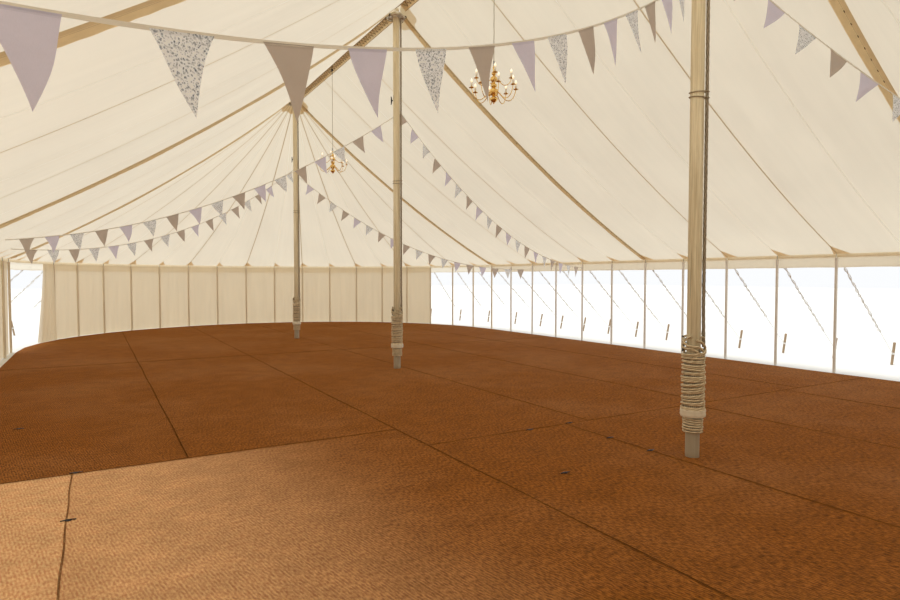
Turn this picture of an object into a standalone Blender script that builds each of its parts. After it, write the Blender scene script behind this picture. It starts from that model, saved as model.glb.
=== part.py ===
"""A traditional canvas pole marquee, 40 ft wide and 80 ft long, with two round ends.

Three king poles carry the canvas by steel crowns. The canvas falls from a straight ridge, and from
the outer king poles at the round ends, to an eave on slim side poles. Guy ropes hold the eave out.

The frame has +Z up and its origin on the ground at the foot of the middle king pole. The ridge runs
along Y. Side-pole places are counted anticlockwise from above, from place 0 on the right (+X) side
abreast of king pole 1, so a row of poles, ropes or wall is a pair of places.
"""

import math

import bmesh
import bpy
from mathutils import Matrix, Vector

# Plan and heights.
KING_POLE_SPACING = 6.096
HALF_WIDTH = 6.096
RIDGE_HEIGHT = 6.15
EAVE_HEIGHT = 1.97
ROOF_SAG = 0.26
GAPS_IN_BAY = 6
GAPS_IN_END = 20

# Gaps that the doorway takes from the left side, and the open side round each end.
DOORWAY_GAPS = 3
OPEN_SIDE_REACH = 3

# Clearance between pieces that touch.
PLAY = 0.0003

# Corners of points closer than this are one corner, and edges sharper than this stay sharp.
WELD = 0.00001
SHARP_DEG = 75.0

# Canvas.
CANVAS_THICKNESS = 0.002
VALANCE_DEPTH = 0.20
ROOF_STEPS = 6
CROWN_HOLE_RADIUS = 0.13
CROWN_HOLE_REACH = 0.5

# King poles and their crowns.
KING_POLE_RADIUS = 0.061
KING_POLE_HEAD = 0.13
KING_POLE_CHAMFER = 0.012
KING_POLE_SHOULDER = 0.03
KING_POLE_SIDES = 16
HEAD_SPIKE_RADIUS = 0.018
HEAD_SPIKE_HEIGHT = 0.09
CROWN_RADIUS = 0.165
CROWN_THICKNESS = 0.012
CROWN_COLLAR_HEIGHT = 0.10

# Hauling rope on each king pole.
HAULING_ROPE_RADIUS = 0.019
HAULING_ROPE_TURN_DEG = -38.0
ROPE_SIDES = 8
WINDING_BOTTOM = 0.21
WINDING_TOP = 1.07
WINDING_THICKNESS = 0.040

# Webbing under the canvas. A laced strap lies close at its crown, and from there it hangs below the
# canvas by one drop along each edge.
RIDGE_BAND_WIDTH = 0.20
STRAP_WIDTH = 0.125
STRAP_DROPS = (0.0045, 0.050)
WEBBING_THICKNESS = 0.004
WEBBING_DROP = 0.0006
STRAP_EAVE_GAP = 0.06

# Side poles and the eave band that they carry.
SIDE_POLE_RADIUS = 0.025
SIDE_POLE_SIDES = 6
EAVE_BAND_HEIGHT = 0.06
EAVE_BAND_THICKNESS = 0.008
POLE_IN_BAND = 0.004

# Guy ropes, the eave rope that they pull on, and their stakes.
GUY_REACH = 1.90
GUY_RADIUS = 0.006
GUY_SIDES = 5
GUY_SPIN_DEG = 11.0
GUY_FOOT_HEIGHT = 0.20
EAVE_ROPE_RADIUS = 0.009
EAVE_ROPE_DROP = 0.04
STAKE_RADIUS = 0.024
STAKE_SIDES = 6
STAKE_HEIGHT = 0.40
STAKE_LEAN = 0.09

# Curtain drawn aside at the doorway. It is wider at its foot by the flare.
CURTAIN_DEPTH = 0.072
CURTAIN_WIDTH = 0.50
CURTAIN_FLARE = 1.55
CURTAIN_FOLDS = 5
CURTAIN_FOLD_DEPTH = 0.03
CURTAIN_POLE_GAP = 0.006

# Floor.
MATTING_THICKNESS = 0.008
MATTING_INSET = 0.12

# Chandeliers, each hung a little past the middle of its bay. The column is a list of radius and
# share of the height, the arm a list of share of the reach and share of the height.
CHANDELIER_BOTTOM = 3.80
CHANDELIER_HEIGHT = 0.50
CHANDELIER_RADIUS = 0.27
CHANDELIER_PAST_MIDDLE = {1: 0.08, 2: 0.20}
COLUMN_PROFILE = [
    (0.0, 1.0),
    (0.012, 1.0),
    (0.012, 0.80),
    (0.026, 0.72),
    (0.014, 0.60),
    (0.016, 0.46),
    (0.045, 0.36),
    (0.052, 0.24),
    (0.034, 0.12),
    (0.012, 0.06),
    (0.0, 0.0),
]
COLUMN_SIDES = 12
ARM_LINE = [(0.08, 0.30), (0.41, 0.14), (0.70, 0.14), (1.0, 0.30), (1.0, 0.42)]
CHANDELIER_ARMS = 8
CHANDELIER_ROPE_RADIUS = 0.006
ARM_RADIUS = 0.007
CUP_RADIUS = 0.028
CUP_HEIGHT = 0.006
CUP_SIDES = 8
CANDLE_RADIUS = 0.011
CANDLE_HEIGHT = 0.09
CANDLE_SIDES = 6

# Bunting.
PENNANT_WIDTH = 0.185
PENNANT_LENGTH = 0.235
PENNANT_LEAN = 0.5
TAPE_HEIGHT = 0.022
BUNTING_THICKNESS = 0.002
BUNTING_EAVE_DROP = 0.03
BUNTING_EAVE_GAP = 0.0009
BUNTING_POLE_HEIGHT = 1.92
SLOPE_STEP = 0.01

# Colours, as linear red, green and blue, with roughness and metallic.
CANVAS = (0.76, 0.67, 0.50), 0.85, 0.0
WEBBING = (0.42, 0.30, 0.16), 0.80, 0.0
TIMBER = (0.42, 0.34, 0.24), 0.70, 0.0
STEEL = (0.50, 0.50, 0.48), 0.35, 1.0
ROPE = (0.62, 0.54, 0.38), 0.90, 0.0
GUY_ROPE = (0.78, 0.76, 0.70), 0.85, 0.0
COIR = (0.36, 0.17, 0.06), 0.95, 0.0
BRASS = (0.70, 0.46, 0.16), 0.25, 1.0
BUNTING = (0.50, 0.46, 0.47), 0.85, 0.0

BAY_PLACES = 2 * GAPS_IN_BAY
PLACES = 2 * BAY_PLACES + 2 * GAPS_IN_END
POLE_SPACING = KING_POLE_SPACING / GAPS_IN_BAY
FAR_END = BAY_PLACES
LEFT_SIDE = BAY_PLACES + GAPS_IN_END
NEAR_END = 2 * BAY_PLACES + GAPS_IN_END
KING_POLES = {1: -KING_POLE_SPACING, 2: 0.0, 3: KING_POLE_SPACING}

# Rows of side poles and guy ropes: name, first place, last place.
ROWS = [
    ("right_bay_1", 0, GAPS_IN_BAY),
    ("right_bay_2", GAPS_IN_BAY, FAR_END),
    ("far_end_right", FAR_END, FAR_END + GAPS_IN_END // 2),
    ("far_end_left", FAR_END + GAPS_IN_END // 2, LEFT_SIDE),
    ("left_bay_2", LEFT_SIDE, LEFT_SIDE + GAPS_IN_BAY),
    ("left_bay_1", LEFT_SIDE + GAPS_IN_BAY, NEAR_END),
    ("near_end_left", NEAR_END, NEAR_END + GAPS_IN_END // 2),
    ("near_end_right", NEAR_END + GAPS_IN_END // 2, PLACES),
]

# The doorway is the gap in the wall from place 29 to place 32; the right side stands open.
DOORWAY_START = LEFT_SIDE - DOORWAY_GAPS
NO_POLE_PLACES = range(DOORWAY_START + 1, LEFT_SIDE)
WALLS = [
    ("wall_far_end_right", FAR_END + OPEN_SIDE_REACH, FAR_END + GAPS_IN_END // 2),
    ("wall_far_end_left", FAR_END + GAPS_IN_END // 2, DOORWAY_START),
    ("wall_left_bay_2", LEFT_SIDE, LEFT_SIDE + GAPS_IN_BAY),
    ("wall_left_bay_1", LEFT_SIDE + GAPS_IN_BAY, NEAR_END),
    ("wall_near_end_left", NEAR_END, NEAR_END + GAPS_IN_END // 2),
    ("wall_near_end_right", NEAR_END + GAPS_IN_END // 2, PLACES - OPEN_SIDE_REACH),
]

# Bunting strings: king pole, side, what holds the outer end, its place and how far in from the eave
# it is, height at the king pole, sag, bare tape before the first pennant, pitch of the pennants.
STRINGS = [
    (1, "left", "canvas", NEAR_END + 2, 0.553, 4.20, 0.427, 0.044, 0.390),
    (1, "right", "band", PLACES - 3, 0, 4.475, 0.54, 0.355, 0.3626),
    (2, "left", "canvas", LEFT_SIDE + 4, 0.386, 4.34, 0.486, 0.243, 0.3626),
    (2, "right", "pole", GAPS_IN_BAY + 2, 0, 4.49, 0.65, 0.060, 0.3626),
    (3, "left", "canvas", LEFT_SIDE + 2, 0.267, 4.37, 0.663, 0.071, 0.3626),
    (3, "right", "pole", GAPS_IN_BAY + 4, 0, 4.16, 0.70, 0.310, 0.3626),
]


def clear_scene():
    for old in list(bpy.data.objects):
        bpy.data.objects.remove(old, do_unlink=True)


def new_collection(name):
    made = bpy.data.collections.new(name)
    bpy.context.scene.collection.children.link(made)
    return made


def finish_of(name, look):
    """The Principled material of one finish, made once."""
    made = bpy.data.materials.get(name)
    if made:
        return made
    colour, roughness, metallic = look
    made = bpy.data.materials.new(name)
    made.use_nodes = True
    shader = made.node_tree.nodes["Principled BSDF"]
    shader.inputs["Base Color"].default_value = (*colour, 1)
    shader.inputs["Roughness"].default_value = roughness
    shader.inputs["Metallic"].default_value = metallic
    return made


def add_object(name, data, look, collection):
    made = bpy.data.objects.new(name, data)
    collection.objects.link(made)
    if look:
        data.materials.append(finish_of(*look))
    return made


def add_cutter(name, data):
    made = add_object(name, data, None, CUTTERS)
    made.hide_render = True
    made.display_type = "WIRE"
    return made


def add_modifier(target, kind, **settings):
    made = target.modifiers.new(kind.title(), kind)
    for key, value in settings.items():
        setattr(made, key, value)
    return made


def join_to(target, other):
    add_modifier(target, "BOOLEAN", operation="UNION", object=other, solver="EXACT")


def cut_from(target, other):
    add_modifier(target, "BOOLEAN", operation="DIFFERENCE", object=other, solver="EXACT")


def smooth(mesh):
    mesh.shade_smooth()
    mesh.set_sharp_from_angle(angle=math.radians(SHARP_DEG))


def eave_place(place, outset=0.0):
    """A point of the plan, a distance outside the eave line, at a side-pole place."""
    place = place % PLACES
    radius = HALF_WIDTH + outset
    if place <= BAY_PLACES:
        return Vector((radius, -KING_POLE_SPACING + place * POLE_SPACING))
    if place <= LEFT_SIDE:
        angle = math.pi * (place - FAR_END) / GAPS_IN_END
        return Vector((radius * math.cos(angle), KING_POLE_SPACING + radius * math.sin(angle)))
    if place <= NEAR_END:
        return Vector((-radius, KING_POLE_SPACING - (place - LEFT_SIDE) * POLE_SPACING))
    angle = math.pi * (1 + (place - NEAR_END) / GAPS_IN_END)
    return Vector((radius * math.cos(angle), -KING_POLE_SPACING + radius * math.sin(angle)))


def row_points(first, last, outset, start_gap, end_gap):
    """The corners of a row at each place, with its two ends drawn in by a length along the row."""
    points = [eave_place(place, outset) for place in range(first, last + 1)]
    start_way = (points[1] - points[0]).normalized()
    end_way = (points[-1] - points[-2]).normalized()
    points[0] = points[0] + start_way * start_gap
    points[-1] = points[-1] - end_way * end_gap
    return points


def roof_corner_height(radius):
    """The true height of the canvas underside at a distance from the ridge or the king pole."""
    share = radius / HALF_WIDTH
    fall = (RIDGE_HEIGHT - EAVE_HEIGHT) * share
    return RIDGE_HEIGHT - fall - 4 * ROOF_SAG * share * (1 - share)


def underside(radius):
    """The height of the faceted canvas underside at a distance from the ridge or the king pole."""
    step = HALF_WIDTH / ROOF_STEPS
    low = min(int(radius / step), ROOF_STEPS - 1)
    share = radius / step - low
    inner = roof_corner_height(low * step)
    outer = roof_corner_height((low + 1) * step)
    return inner + (outer - inner) * share


def bent_grid(name, across, along, place, look):
    """A grid of faces whose corners go where place(column, row) says."""
    grid = bmesh.new()
    bmesh.ops.create_grid(grid, x_segments=across, y_segments=along, size=1)
    for corner in grid.verts:
        column = round((corner.co.x + 1) / 2 * across)
        row = round((corner.co.y + 1) / 2 * along)
        corner.co = place(column, row)
    mesh = bpy.data.meshes.new(name)
    grid.to_mesh(mesh)
    grid.free()
    return add_object(name, mesh, look, PARTS)


def thicken(target, thickness):
    add_modifier(target, "SOLIDIFY", thickness=thickness, offset=1, use_even_offset=True)


def bar_mesh(name, bars, sides, spin_deg=0.0):
    """One mesh of upright or slanted round bars, each given as foot, head and radius."""
    mesh = bmesh.new()
    for foot, head, radius in bars:
        foot = Vector(foot)
        head = Vector(head)
        way = head - foot
        spin = Matrix.Rotation(math.radians(spin_deg), 4, "Z")
        turn = way.to_track_quat("Z", "Y").to_matrix().to_4x4() @ spin
        bmesh.ops.create_cone(
            mesh,
            cap_ends=True,
            segments=sides,
            radius1=radius,
            radius2=radius,
            depth=way.length,
            matrix=Matrix.Translation((foot + head) / 2) @ turn,
        )
    made = bpy.data.meshes.new(name)
    mesh.to_mesh(made)
    mesh.free()
    smooth(made)
    return made


def mesh_of_curve(name, curve):
    """A curve as a closed mesh, its caps welded on."""
    holder = bpy.data.objects.new(name + "_curve", curve)
    bpy.context.scene.collection.objects.link(holder)
    shown = holder.evaluated_get(bpy.context.evaluated_depsgraph_get())
    made = bpy.data.meshes.new_from_object(shown)
    made.name = name
    welded = bmesh.new()
    welded.from_mesh(made)
    bmesh.ops.remove_doubles(welded, verts=welded.verts, dist=WELD)
    bmesh.ops.recalc_face_normals(welded, faces=welded.faces)
    welded.to_mesh(made)
    welded.free()
    bpy.data.objects.remove(holder, do_unlink=True)
    return made


def tube_mesh(name, points, radius):
    """A closed round tube along a chain of points, as a mesh."""
    curve = bpy.data.curves.new(name, "CURVE")
    curve.dimensions = "3D"
    curve.bevel_depth = radius
    curve.bevel_resolution = 0
    curve.render_resolution_u = 0
    curve.use_fill_caps = True
    line = curve.splines.new("POLY")
    line.points.add(len(points) - 1)
    for target, point in zip(line.points, points):
        target.co = (*point, 1)
    return mesh_of_curve(name, curve)


def plate(name, outlines, thickness, look):
    """A flat plate from closed outlines in the XY plane, half its thickness either side of it."""
    curve = bpy.data.curves.new(name, "CURVE")
    curve.dimensions = "2D"
    curve.fill_mode = "BOTH"
    curve.extrude = thickness / 2
    curve.render_resolution_u = 0
    for outline in outlines:
        line = curve.splines.new("POLY")
        line.use_cyclic_u = True
        line.points.add(len(outline) - 1)
        for target, point in zip(line.points, outline):
            target.co = (point[0], point[1], 0, 1)
    return add_object(name, mesh_of_curve(name, curve), look, PARTS)


def turned(name, profile, sides, look, collection, closed=False):
    """A turned piece about Z from a profile of radius and height, outer side top to bottom."""
    mesh = bmesh.new()
    corners = [mesh.verts.new((radius, 0, height)) for radius, height in profile]
    for k in range(len(corners) - 1):
        mesh.edges.new((corners[k], corners[k + 1]))
    if closed:
        mesh.edges.new((corners[-1], corners[0]))
    made = bpy.data.meshes.new(name)
    mesh.to_mesh(made)
    mesh.free()
    piece = add_object(name, made, look, collection)
    add_modifier(
        piece,
        "SCREW",
        steps=sides,
        render_steps=sides,
        use_merge_vertices=True,
        merge_threshold=WELD,
    )
    return piece


def king_pole(number, y):
    """A timber pole that passes up through its crown, with a turned head and a steel spike."""
    top = RIDGE_HEIGHT + KING_POLE_HEAD
    shoulder = top - KING_POLE_SHOULDER
    profile = [
        (0, top + HEAD_SPIKE_HEIGHT),
        (HEAD_SPIKE_RADIUS, top + HEAD_SPIKE_HEIGHT),
        (HEAD_SPIKE_RADIUS, top),
        (KING_POLE_RADIUS - KING_POLE_CHAMFER, top),
        (KING_POLE_RADIUS, shoulder),
        (KING_POLE_RADIUS, 0),
        (0, 0),
    ]
    pole = turned(f"king_pole_{number}", profile, KING_POLE_SIDES, ("timber", TIMBER), PARTS)
    pole.location.y = y


def crown(number, y):
    """The steel crown round the pole, a cone that lies just under the canvas, with a collar."""
    inner = KING_POLE_RADIUS + PLAY
    sleeve = inner + CROWN_THICKNESS
    sleeve_height = underside(sleeve) - WEBBING_DROP - CROWN_THICKNESS
    collar_foot = sleeve_height - CROWN_COLLAR_HEIGHT
    profile = [
        (inner, underside(inner) - WEBBING_DROP),
        (CROWN_RADIUS, underside(CROWN_RADIUS) - WEBBING_DROP),
        (CROWN_RADIUS, underside(CROWN_RADIUS) - WEBBING_DROP - CROWN_THICKNESS),
        (sleeve, sleeve_height),
        (sleeve, collar_foot),
        (inner, collar_foot),
    ]
    name = f"king_pole_crown_{number}"
    made = turned(name, profile, KING_POLE_SIDES, ("steel", STEEL), PARTS, closed=True)
    made.location.y = y
    return collar_foot


def hauling_rope(number, y, top):
    """The hauling rope down the side of the pole and the spare rope wound round its foot."""
    inner = KING_POLE_RADIUS + PLAY
    outer = inner + WINDING_THICKNESS
    profile = [
        (outer, WINDING_TOP),
        (outer, WINDING_BOTTOM),
        (inner, WINDING_BOTTOM),
        (inner, WINDING_TOP),
    ]
    name = f"hauling_rope_{number}"
    rope = turned(name, profile, KING_POLE_SIDES, ("rope", ROPE), PARTS, closed=True)
    rope.location.y = y
    turn = math.radians(HAULING_ROPE_TURN_DEG)
    reach = inner + HAULING_ROPE_RADIUS
    x = reach * math.cos(turn)
    along = y + reach * math.sin(turn)
    foot = (x, along, (WINDING_BOTTOM + WINDING_TOP) / 2)
    head = (x, along, top - PLAY)
    bars = [(foot, head, HAULING_ROPE_RADIUS)]
    run = add_cutter(name + "_run", bar_mesh(name + "_run", bars, ROPE_SIDES))
    pole_bore = turned(
        name + "_bore",
        [(0, WINDING_TOP), (inner, WINDING_TOP), (inner, WINDING_BOTTOM), (0, WINDING_BOTTOM)],
        KING_POLE_SIDES,
        None,
        CUTTERS,
    )
    pole_bore.location.y = y
    pole_bore.hide_render = True
    pole_bore.display_type = "WIRE"
    join_to(rope, run)
    cut_from(rope, pole_bore)


def roof_profile(start):
    """The roof's corners from the ridge or crown out to the eave and down the valance."""
    step = HALF_WIDTH / ROOF_STEPS
    radii = [start] + [k * step for k in range(1, ROOF_STEPS + 1)]
    corners = [(radius, underside(radius)) for radius in radii]
    return corners + [(HALF_WIDTH, EAVE_HEIGHT - VALANCE_DEPTH)]


def roof_panel(name, first, last, start, shift, end_gap):
    """One panel of roof canvas with its valance, from place first to place last."""
    corners = roof_profile(start)
    is_bay = end_gap > 0
    steps = 1 if is_bay else last - first

    def place(column, row):
        radius, height = corners[column]
        spot = eave_place(first + row * (last - first) // steps, radius - HALF_WIDTH)
        if is_bay:
            middle = eave_place((first + last) / 2).y
            spot.y += math.copysign(end_gap, middle - spot.y)
        return (spot.x + shift[0], spot.y + shift[1], height)

    panel = bent_grid(name, len(corners) - 1, steps, place, ("canvas", CANVAS))
    thicken(panel, CANVAS_THICKNESS)
    return panel


def roof():
    """Two bays of two slopes each, and two round ends of two quarters each."""
    for name, first, last in ROWS:
        side = 1 if "right" in name else -1
        if "bay" in name:
            panel = roof_panel(f"roof_{name}", first, last, 0, (side * PLAY / 2, 0), PLAY / 2)
            for number, y in KING_POLES.items():
                if abs(y - eave_place((first + last) / 2).y) < KING_POLE_SPACING:
                    cut_from(panel, crown_hole(name, number, y))
        else:
            end = 1 if "far" in name else -1
            shift = (side * PLAY / 2, end * PLAY)
            roof_panel(f"roof_{name}", first, last, CROWN_HOLE_RADIUS, shift, 0)


def crown_hole(row, number, y):
    """A cutter for the hole round a king pole in a bay's canvas."""
    low = (0, y, RIDGE_HEIGHT - CROWN_HOLE_REACH)
    high = (0, y, RIDGE_HEIGHT + CROWN_HOLE_REACH)
    name = f"{row}_crown_hole_{number}"
    return add_cutter(name, bar_mesh(name, [(low, high, CROWN_HOLE_RADIUS)], KING_POLE_SIDES))


def ridge_band(number, start, end):
    """The webbing under the ridge between two crowns, folded over the ridge line."""
    half = RIDGE_BAND_WIDTH / 2
    edge = underside(half) - WEBBING_DROP
    top = [(-half, edge), (0, RIDGE_HEIGHT - WEBBING_DROP), (half, edge)]
    bottom = [(x, z - WEBBING_THICKNESS) for x, z in reversed(top)]
    length = end - start - 2 * (CROWN_RADIUS + PLAY)
    name = f"ridge_band_{number}"
    band = plate(name, [top + bottom], length, ("webbing", WEBBING))
    band.rotation_euler.x = math.pi / 2
    band.location.y = (start + end) / 2


def laced_strap(number, y, side, sign):
    """The laced webbing under the canvas from a crown down to the eave on one side."""
    start = CROWN_RADIUS + PLAY
    step = HALF_WIDTH / ROOF_STEPS
    radii = [start] + [k * step for k in range(1, ROOF_STEPS)] + [HALF_WIDTH - STRAP_EAVE_GAP]

    def place(column, row):
        aside = (row - 0.5) * STRAP_WIDTH
        under_end = aside * (y - KING_POLES[2]) > 0
        radius = math.hypot(radii[column], aside) if under_end else radii[column]
        drop = STRAP_DROPS[row] if column else WEBBING_DROP
        height = underside(radius) - WEBBING_THICKNESS - drop
        return (sign * radii[column], y + aside, height)

    def mirrored(column, row):
        return place(column, 1 - row)

    name = f"laced_strap_{number}_{side}"
    across = len(radii) - 1
    strap = bent_grid(name, across, 1, place if sign > 0 else mirrored, ("webbing", WEBBING))
    add_modifier(strap, "SOLIDIFY", thickness=WEBBING_THICKNESS * strap_cosine(), offset=1)


def strap_cosine():
    """The cosine of the steepest roof slope, so a strap's thickness upright stays under the canvas."""
    rise = RIDGE_HEIGHT - underside(HALF_WIDTH / ROOF_STEPS)
    run = HALF_WIDTH / ROOF_STEPS
    return run / math.hypot(rise, run)


def side_pole_inset():
    """How far the axis of a side pole is in from the eave line."""
    return PLAY + EAVE_BAND_THICKNESS + SIDE_POLE_RADIUS - POLE_IN_BAND


def side_poles(name, first, last):
    """A row of side poles with the eave band that ties their heads together."""
    outer = -PLAY - EAVE_BAND_THICKNESS
    points = row_points(first, last, outer, 0, SIDE_POLE_RADIUS + PLAY)
    top = EAVE_HEIGHT - PLAY
    bottom = EAVE_HEIGHT - EAVE_BAND_HEIGHT

    def place(column, row):
        height = top if column == 0 else bottom
        return (*points[row], height)

    row = bent_grid(f"side_poles_{name}", 1, len(points) - 1, place, ("timber", TIMBER))
    thicken(row, EAVE_BAND_THICKNESS)
    bars = []
    for place_number in range(first, last):
        if place_number in NO_POLE_PLACES:
            continue
        spot = eave_place(place_number, -side_pole_inset())
        bars.append(((*spot, 0), (*spot, top - PLAY), SIDE_POLE_RADIUS))
    poles = add_cutter(f"{name}_poles", bar_mesh(f"{name}_poles", bars, SIDE_POLE_SIDES))
    join_to(row, poles)


def stake_mesh(name, spots):
    """Wooden stakes that lean away from the tent and are cut level with the ground."""
    mesh = bmesh.new()
    for spot, way in spots:
        made = bmesh.ops.create_cone(
            mesh,
            cap_ends=True,
            segments=STAKE_SIDES,
            radius1=STAKE_RADIUS,
            radius2=STAKE_RADIUS,
            depth=STAKE_HEIGHT,
            matrix=Matrix.Translation((spot.x, spot.y, STAKE_HEIGHT / 2)),
        )
        for corner in made["verts"]:
            if corner.co.z > STAKE_HEIGHT / 2:
                corner.co.x += way.x * STAKE_LEAN
                corner.co.y += way.y * STAKE_LEAN
    stakes = bpy.data.meshes.new(name)
    mesh.to_mesh(stakes)
    mesh.free()
    return stakes


def guy_ropes(name, first, last):
    """A row of guy ropes from the eave rope out to their stakes."""
    outset = CANVAS_THICKNESS + PLAY * 3 + EAVE_ROPE_RADIUS
    height = EAVE_HEIGHT - EAVE_ROPE_DROP
    points = row_points(first, last, outset, 0, 2 * GUY_RADIUS + PLAY)
    chain = [(*point, height) for point in points]
    mesh = tube_mesh(f"guy_ropes_{name}", chain, EAVE_ROPE_RADIUS)
    row = add_object(f"guy_ropes_{name}", mesh, ("guy_rope", GUY_ROPE), PARTS)
    bars = []
    spots = []
    for place in range(first, last):
        head = eave_place(place, outset)
        foot = eave_place(place, GUY_REACH)
        bars.append(((*foot, GUY_FOOT_HEIGHT), (*head, height), GUY_RADIUS))
        way = (foot - head).normalized()
        lean = STAKE_LEAN * GUY_FOOT_HEIGHT / STAKE_HEIGHT
        spots.append((foot - way * lean, way))
    guys = add_cutter(f"{name}_guys", bar_mesh(f"{name}_guys", bars, GUY_SIDES, GUY_SPIN_DEG))
    stakes = add_cutter(f"{name}_stakes", stake_mesh(f"{name}_stakes", spots))
    join_to(row, guys)
    join_to(row, stakes)


def wall(name, first, last):
    """A length of wall canvas that hangs from the eave band to the ground."""
    inner = -PLAY - CANVAS_THICKNESS
    points = row_points(first, last, inner, PLAY, PLAY)
    top = EAVE_HEIGHT - EAVE_BAND_HEIGHT - PLAY

    def place(column, row):
        return (*points[row], top if column == 0 else 0)

    made = bent_grid(name, 1, len(points) - 1, place, ("canvas", CANVAS))
    thicken(made, CANVAS_THICKNESS)


def door_curtain():
    """The wall canvas of the doorway, drawn aside and gathered against the pole."""
    spot = eave_place(DOORWAY_START, 0)
    next_spot = eave_place(DOORWAY_START + 1, 0)
    along = (next_spot - spot).normalized()
    inward = Vector((-along.y, along.x))
    start = SIDE_POLE_RADIUS + CURTAIN_POLE_GAP
    outline = []
    for k in range(2 * CURTAIN_FOLDS + 1):
        share = k / (2 * CURTAIN_FOLDS)
        depth = PLAY + CANVAS_THICKNESS + (CURTAIN_FOLD_DEPTH if k % 2 else 0.0)
        outline.append(spot + along * (start + share * CURTAIN_WIDTH) + inward * depth)
    for k in range(2 * CURTAIN_FOLDS, -1, -1):
        share = k / (2 * CURTAIN_FOLDS)
        depth = CURTAIN_DEPTH - (CURTAIN_FOLD_DEPTH if k % 2 else 0.0)
        outline.append(spot + along * (start + share * CURTAIN_WIDTH) + inward * depth)
    height = EAVE_HEIGHT - EAVE_BAND_HEIGHT - PLAY
    made = plate("door_curtain", [outline], height, ("canvas", CANVAS))
    corner = spot + along * start
    for point in made.data.vertices:
        if point.co.z < 0:
            point.co.xy = corner + (point.co.xy - corner) * CURTAIN_FLARE
    made.location.z = height / 2


def circle(centre, radius, sides):
    spots = [2 * math.pi * k / sides for k in range(sides)]
    return [(centre[0] + radius * math.cos(a), centre[1] + radius * math.sin(a)) for a in spots]


def coir_matting():
    """The matting floor inside the walls, with a close hole round each king pole."""
    edge = [tuple(eave_place(k, -MATTING_INSET)) for k in range(PLACES)]
    straight = range(1, BAY_PLACES)
    skipped = set(straight) | {LEFT_SIDE + k for k in straight}
    edge = [point for k, point in enumerate(edge) if k not in skipped]
    holes = [
        circle((0, y), KING_POLE_RADIUS + PLAY, KING_POLE_SIDES) for y in KING_POLES.values()
    ]
    made = plate("coir_matting", [edge] + holes, MATTING_THICKNESS, ("coir", COIR))
    made.location.z = MATTING_THICKNESS / 2


def chandelier_height(share):
    """The height above the ground of a share of a chandelier's own height."""
    return CHANDELIER_BOTTOM + share * CHANDELIER_HEIGHT


def chandelier(number, y):
    """A brass chandelier: a turned column with curved arms that carry candle cups."""
    name = f"chandelier_{number}"
    column = [(radius, chandelier_height(share)) for radius, share in COLUMN_PROFILE]
    made = turned(name, column, COLUMN_SIDES, ("brass", BRASS), PARTS)
    made.location.y = y
    reach = CHANDELIER_RADIUS - CUP_RADIUS
    arm_line = [(share * reach, chandelier_height(height)) for share, height in ARM_LINE]
    cup = arm_line[-1][1]
    cups = []
    candles = []
    for k in range(CHANDELIER_ARMS):
        turn = 2 * math.pi * (k + 0.5) / CHANDELIER_ARMS
        way = Vector((math.cos(turn), math.sin(turn), 0))
        points = [way * radius + Vector((0, y, height)) for radius, height in arm_line]
        arm = add_cutter(f"{name}_arm_{k}", tube_mesh(f"{name}_arm_{k}", points, ARM_RADIUS))
        join_to(made, arm)
        spot = way * reach + Vector((0, y, cup))
        lip = spot + Vector((0, 0, CUP_HEIGHT))
        cups.append((spot - Vector((0, 0, CUP_HEIGHT)), lip, CUP_RADIUS))
        candles.append((spot, spot + Vector((0, 0, CANDLE_HEIGHT)), CANDLE_RADIUS))
    join_to(made, add_cutter(f"{name}_cups", bar_mesh(f"{name}_cups", cups, CUP_SIDES)))
    wax = bar_mesh(f"{name}_candles", candles, CANDLE_SIDES)
    join_to(made, add_cutter(f"{name}_candles", wax))


def chandelier_rope(number, y):
    """The rope that hangs a chandelier from the ridge band."""
    slope = (RIDGE_HEIGHT - underside(RIDGE_BAND_WIDTH / 2)) / (RIDGE_BAND_WIDTH / 2)
    band = RIDGE_HEIGHT - WEBBING_DROP - WEBBING_THICKNESS
    head = band - CHANDELIER_ROPE_RADIUS * slope - PLAY
    foot = CHANDELIER_BOTTOM + CHANDELIER_HEIGHT + PLAY
    name = f"chandelier_rope_{number}"
    bars = [((0, y, foot), (0, y, head), CHANDELIER_ROPE_RADIUS)]
    add_object(name, bar_mesh(name, bars, ROPE_SIDES), ("rope", ROPE), PARTS)


def string_end(holder, place, inset):
    """Where a string of bunting ends: on the canvas, on a side pole or between two on the eave band."""
    if holder == "canvas":
        return eave_place(place, -inset), underside(HALF_WIDTH - inset) - WEBBING_DROP
    if holder == "pole":
        inner_side = side_pole_inset() + SIDE_POLE_RADIUS + 2 * PLAY
        return eave_place(place, -inner_side), BUNTING_POLE_HEIGHT
    outset = -PLAY - EAVE_BAND_THICKNESS - BUNTING_EAVE_GAP
    middle = (eave_place(place, outset) + eave_place(place + 1, outset)) / 2
    return middle, EAVE_HEIGHT - BUNTING_EAVE_DROP


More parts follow.
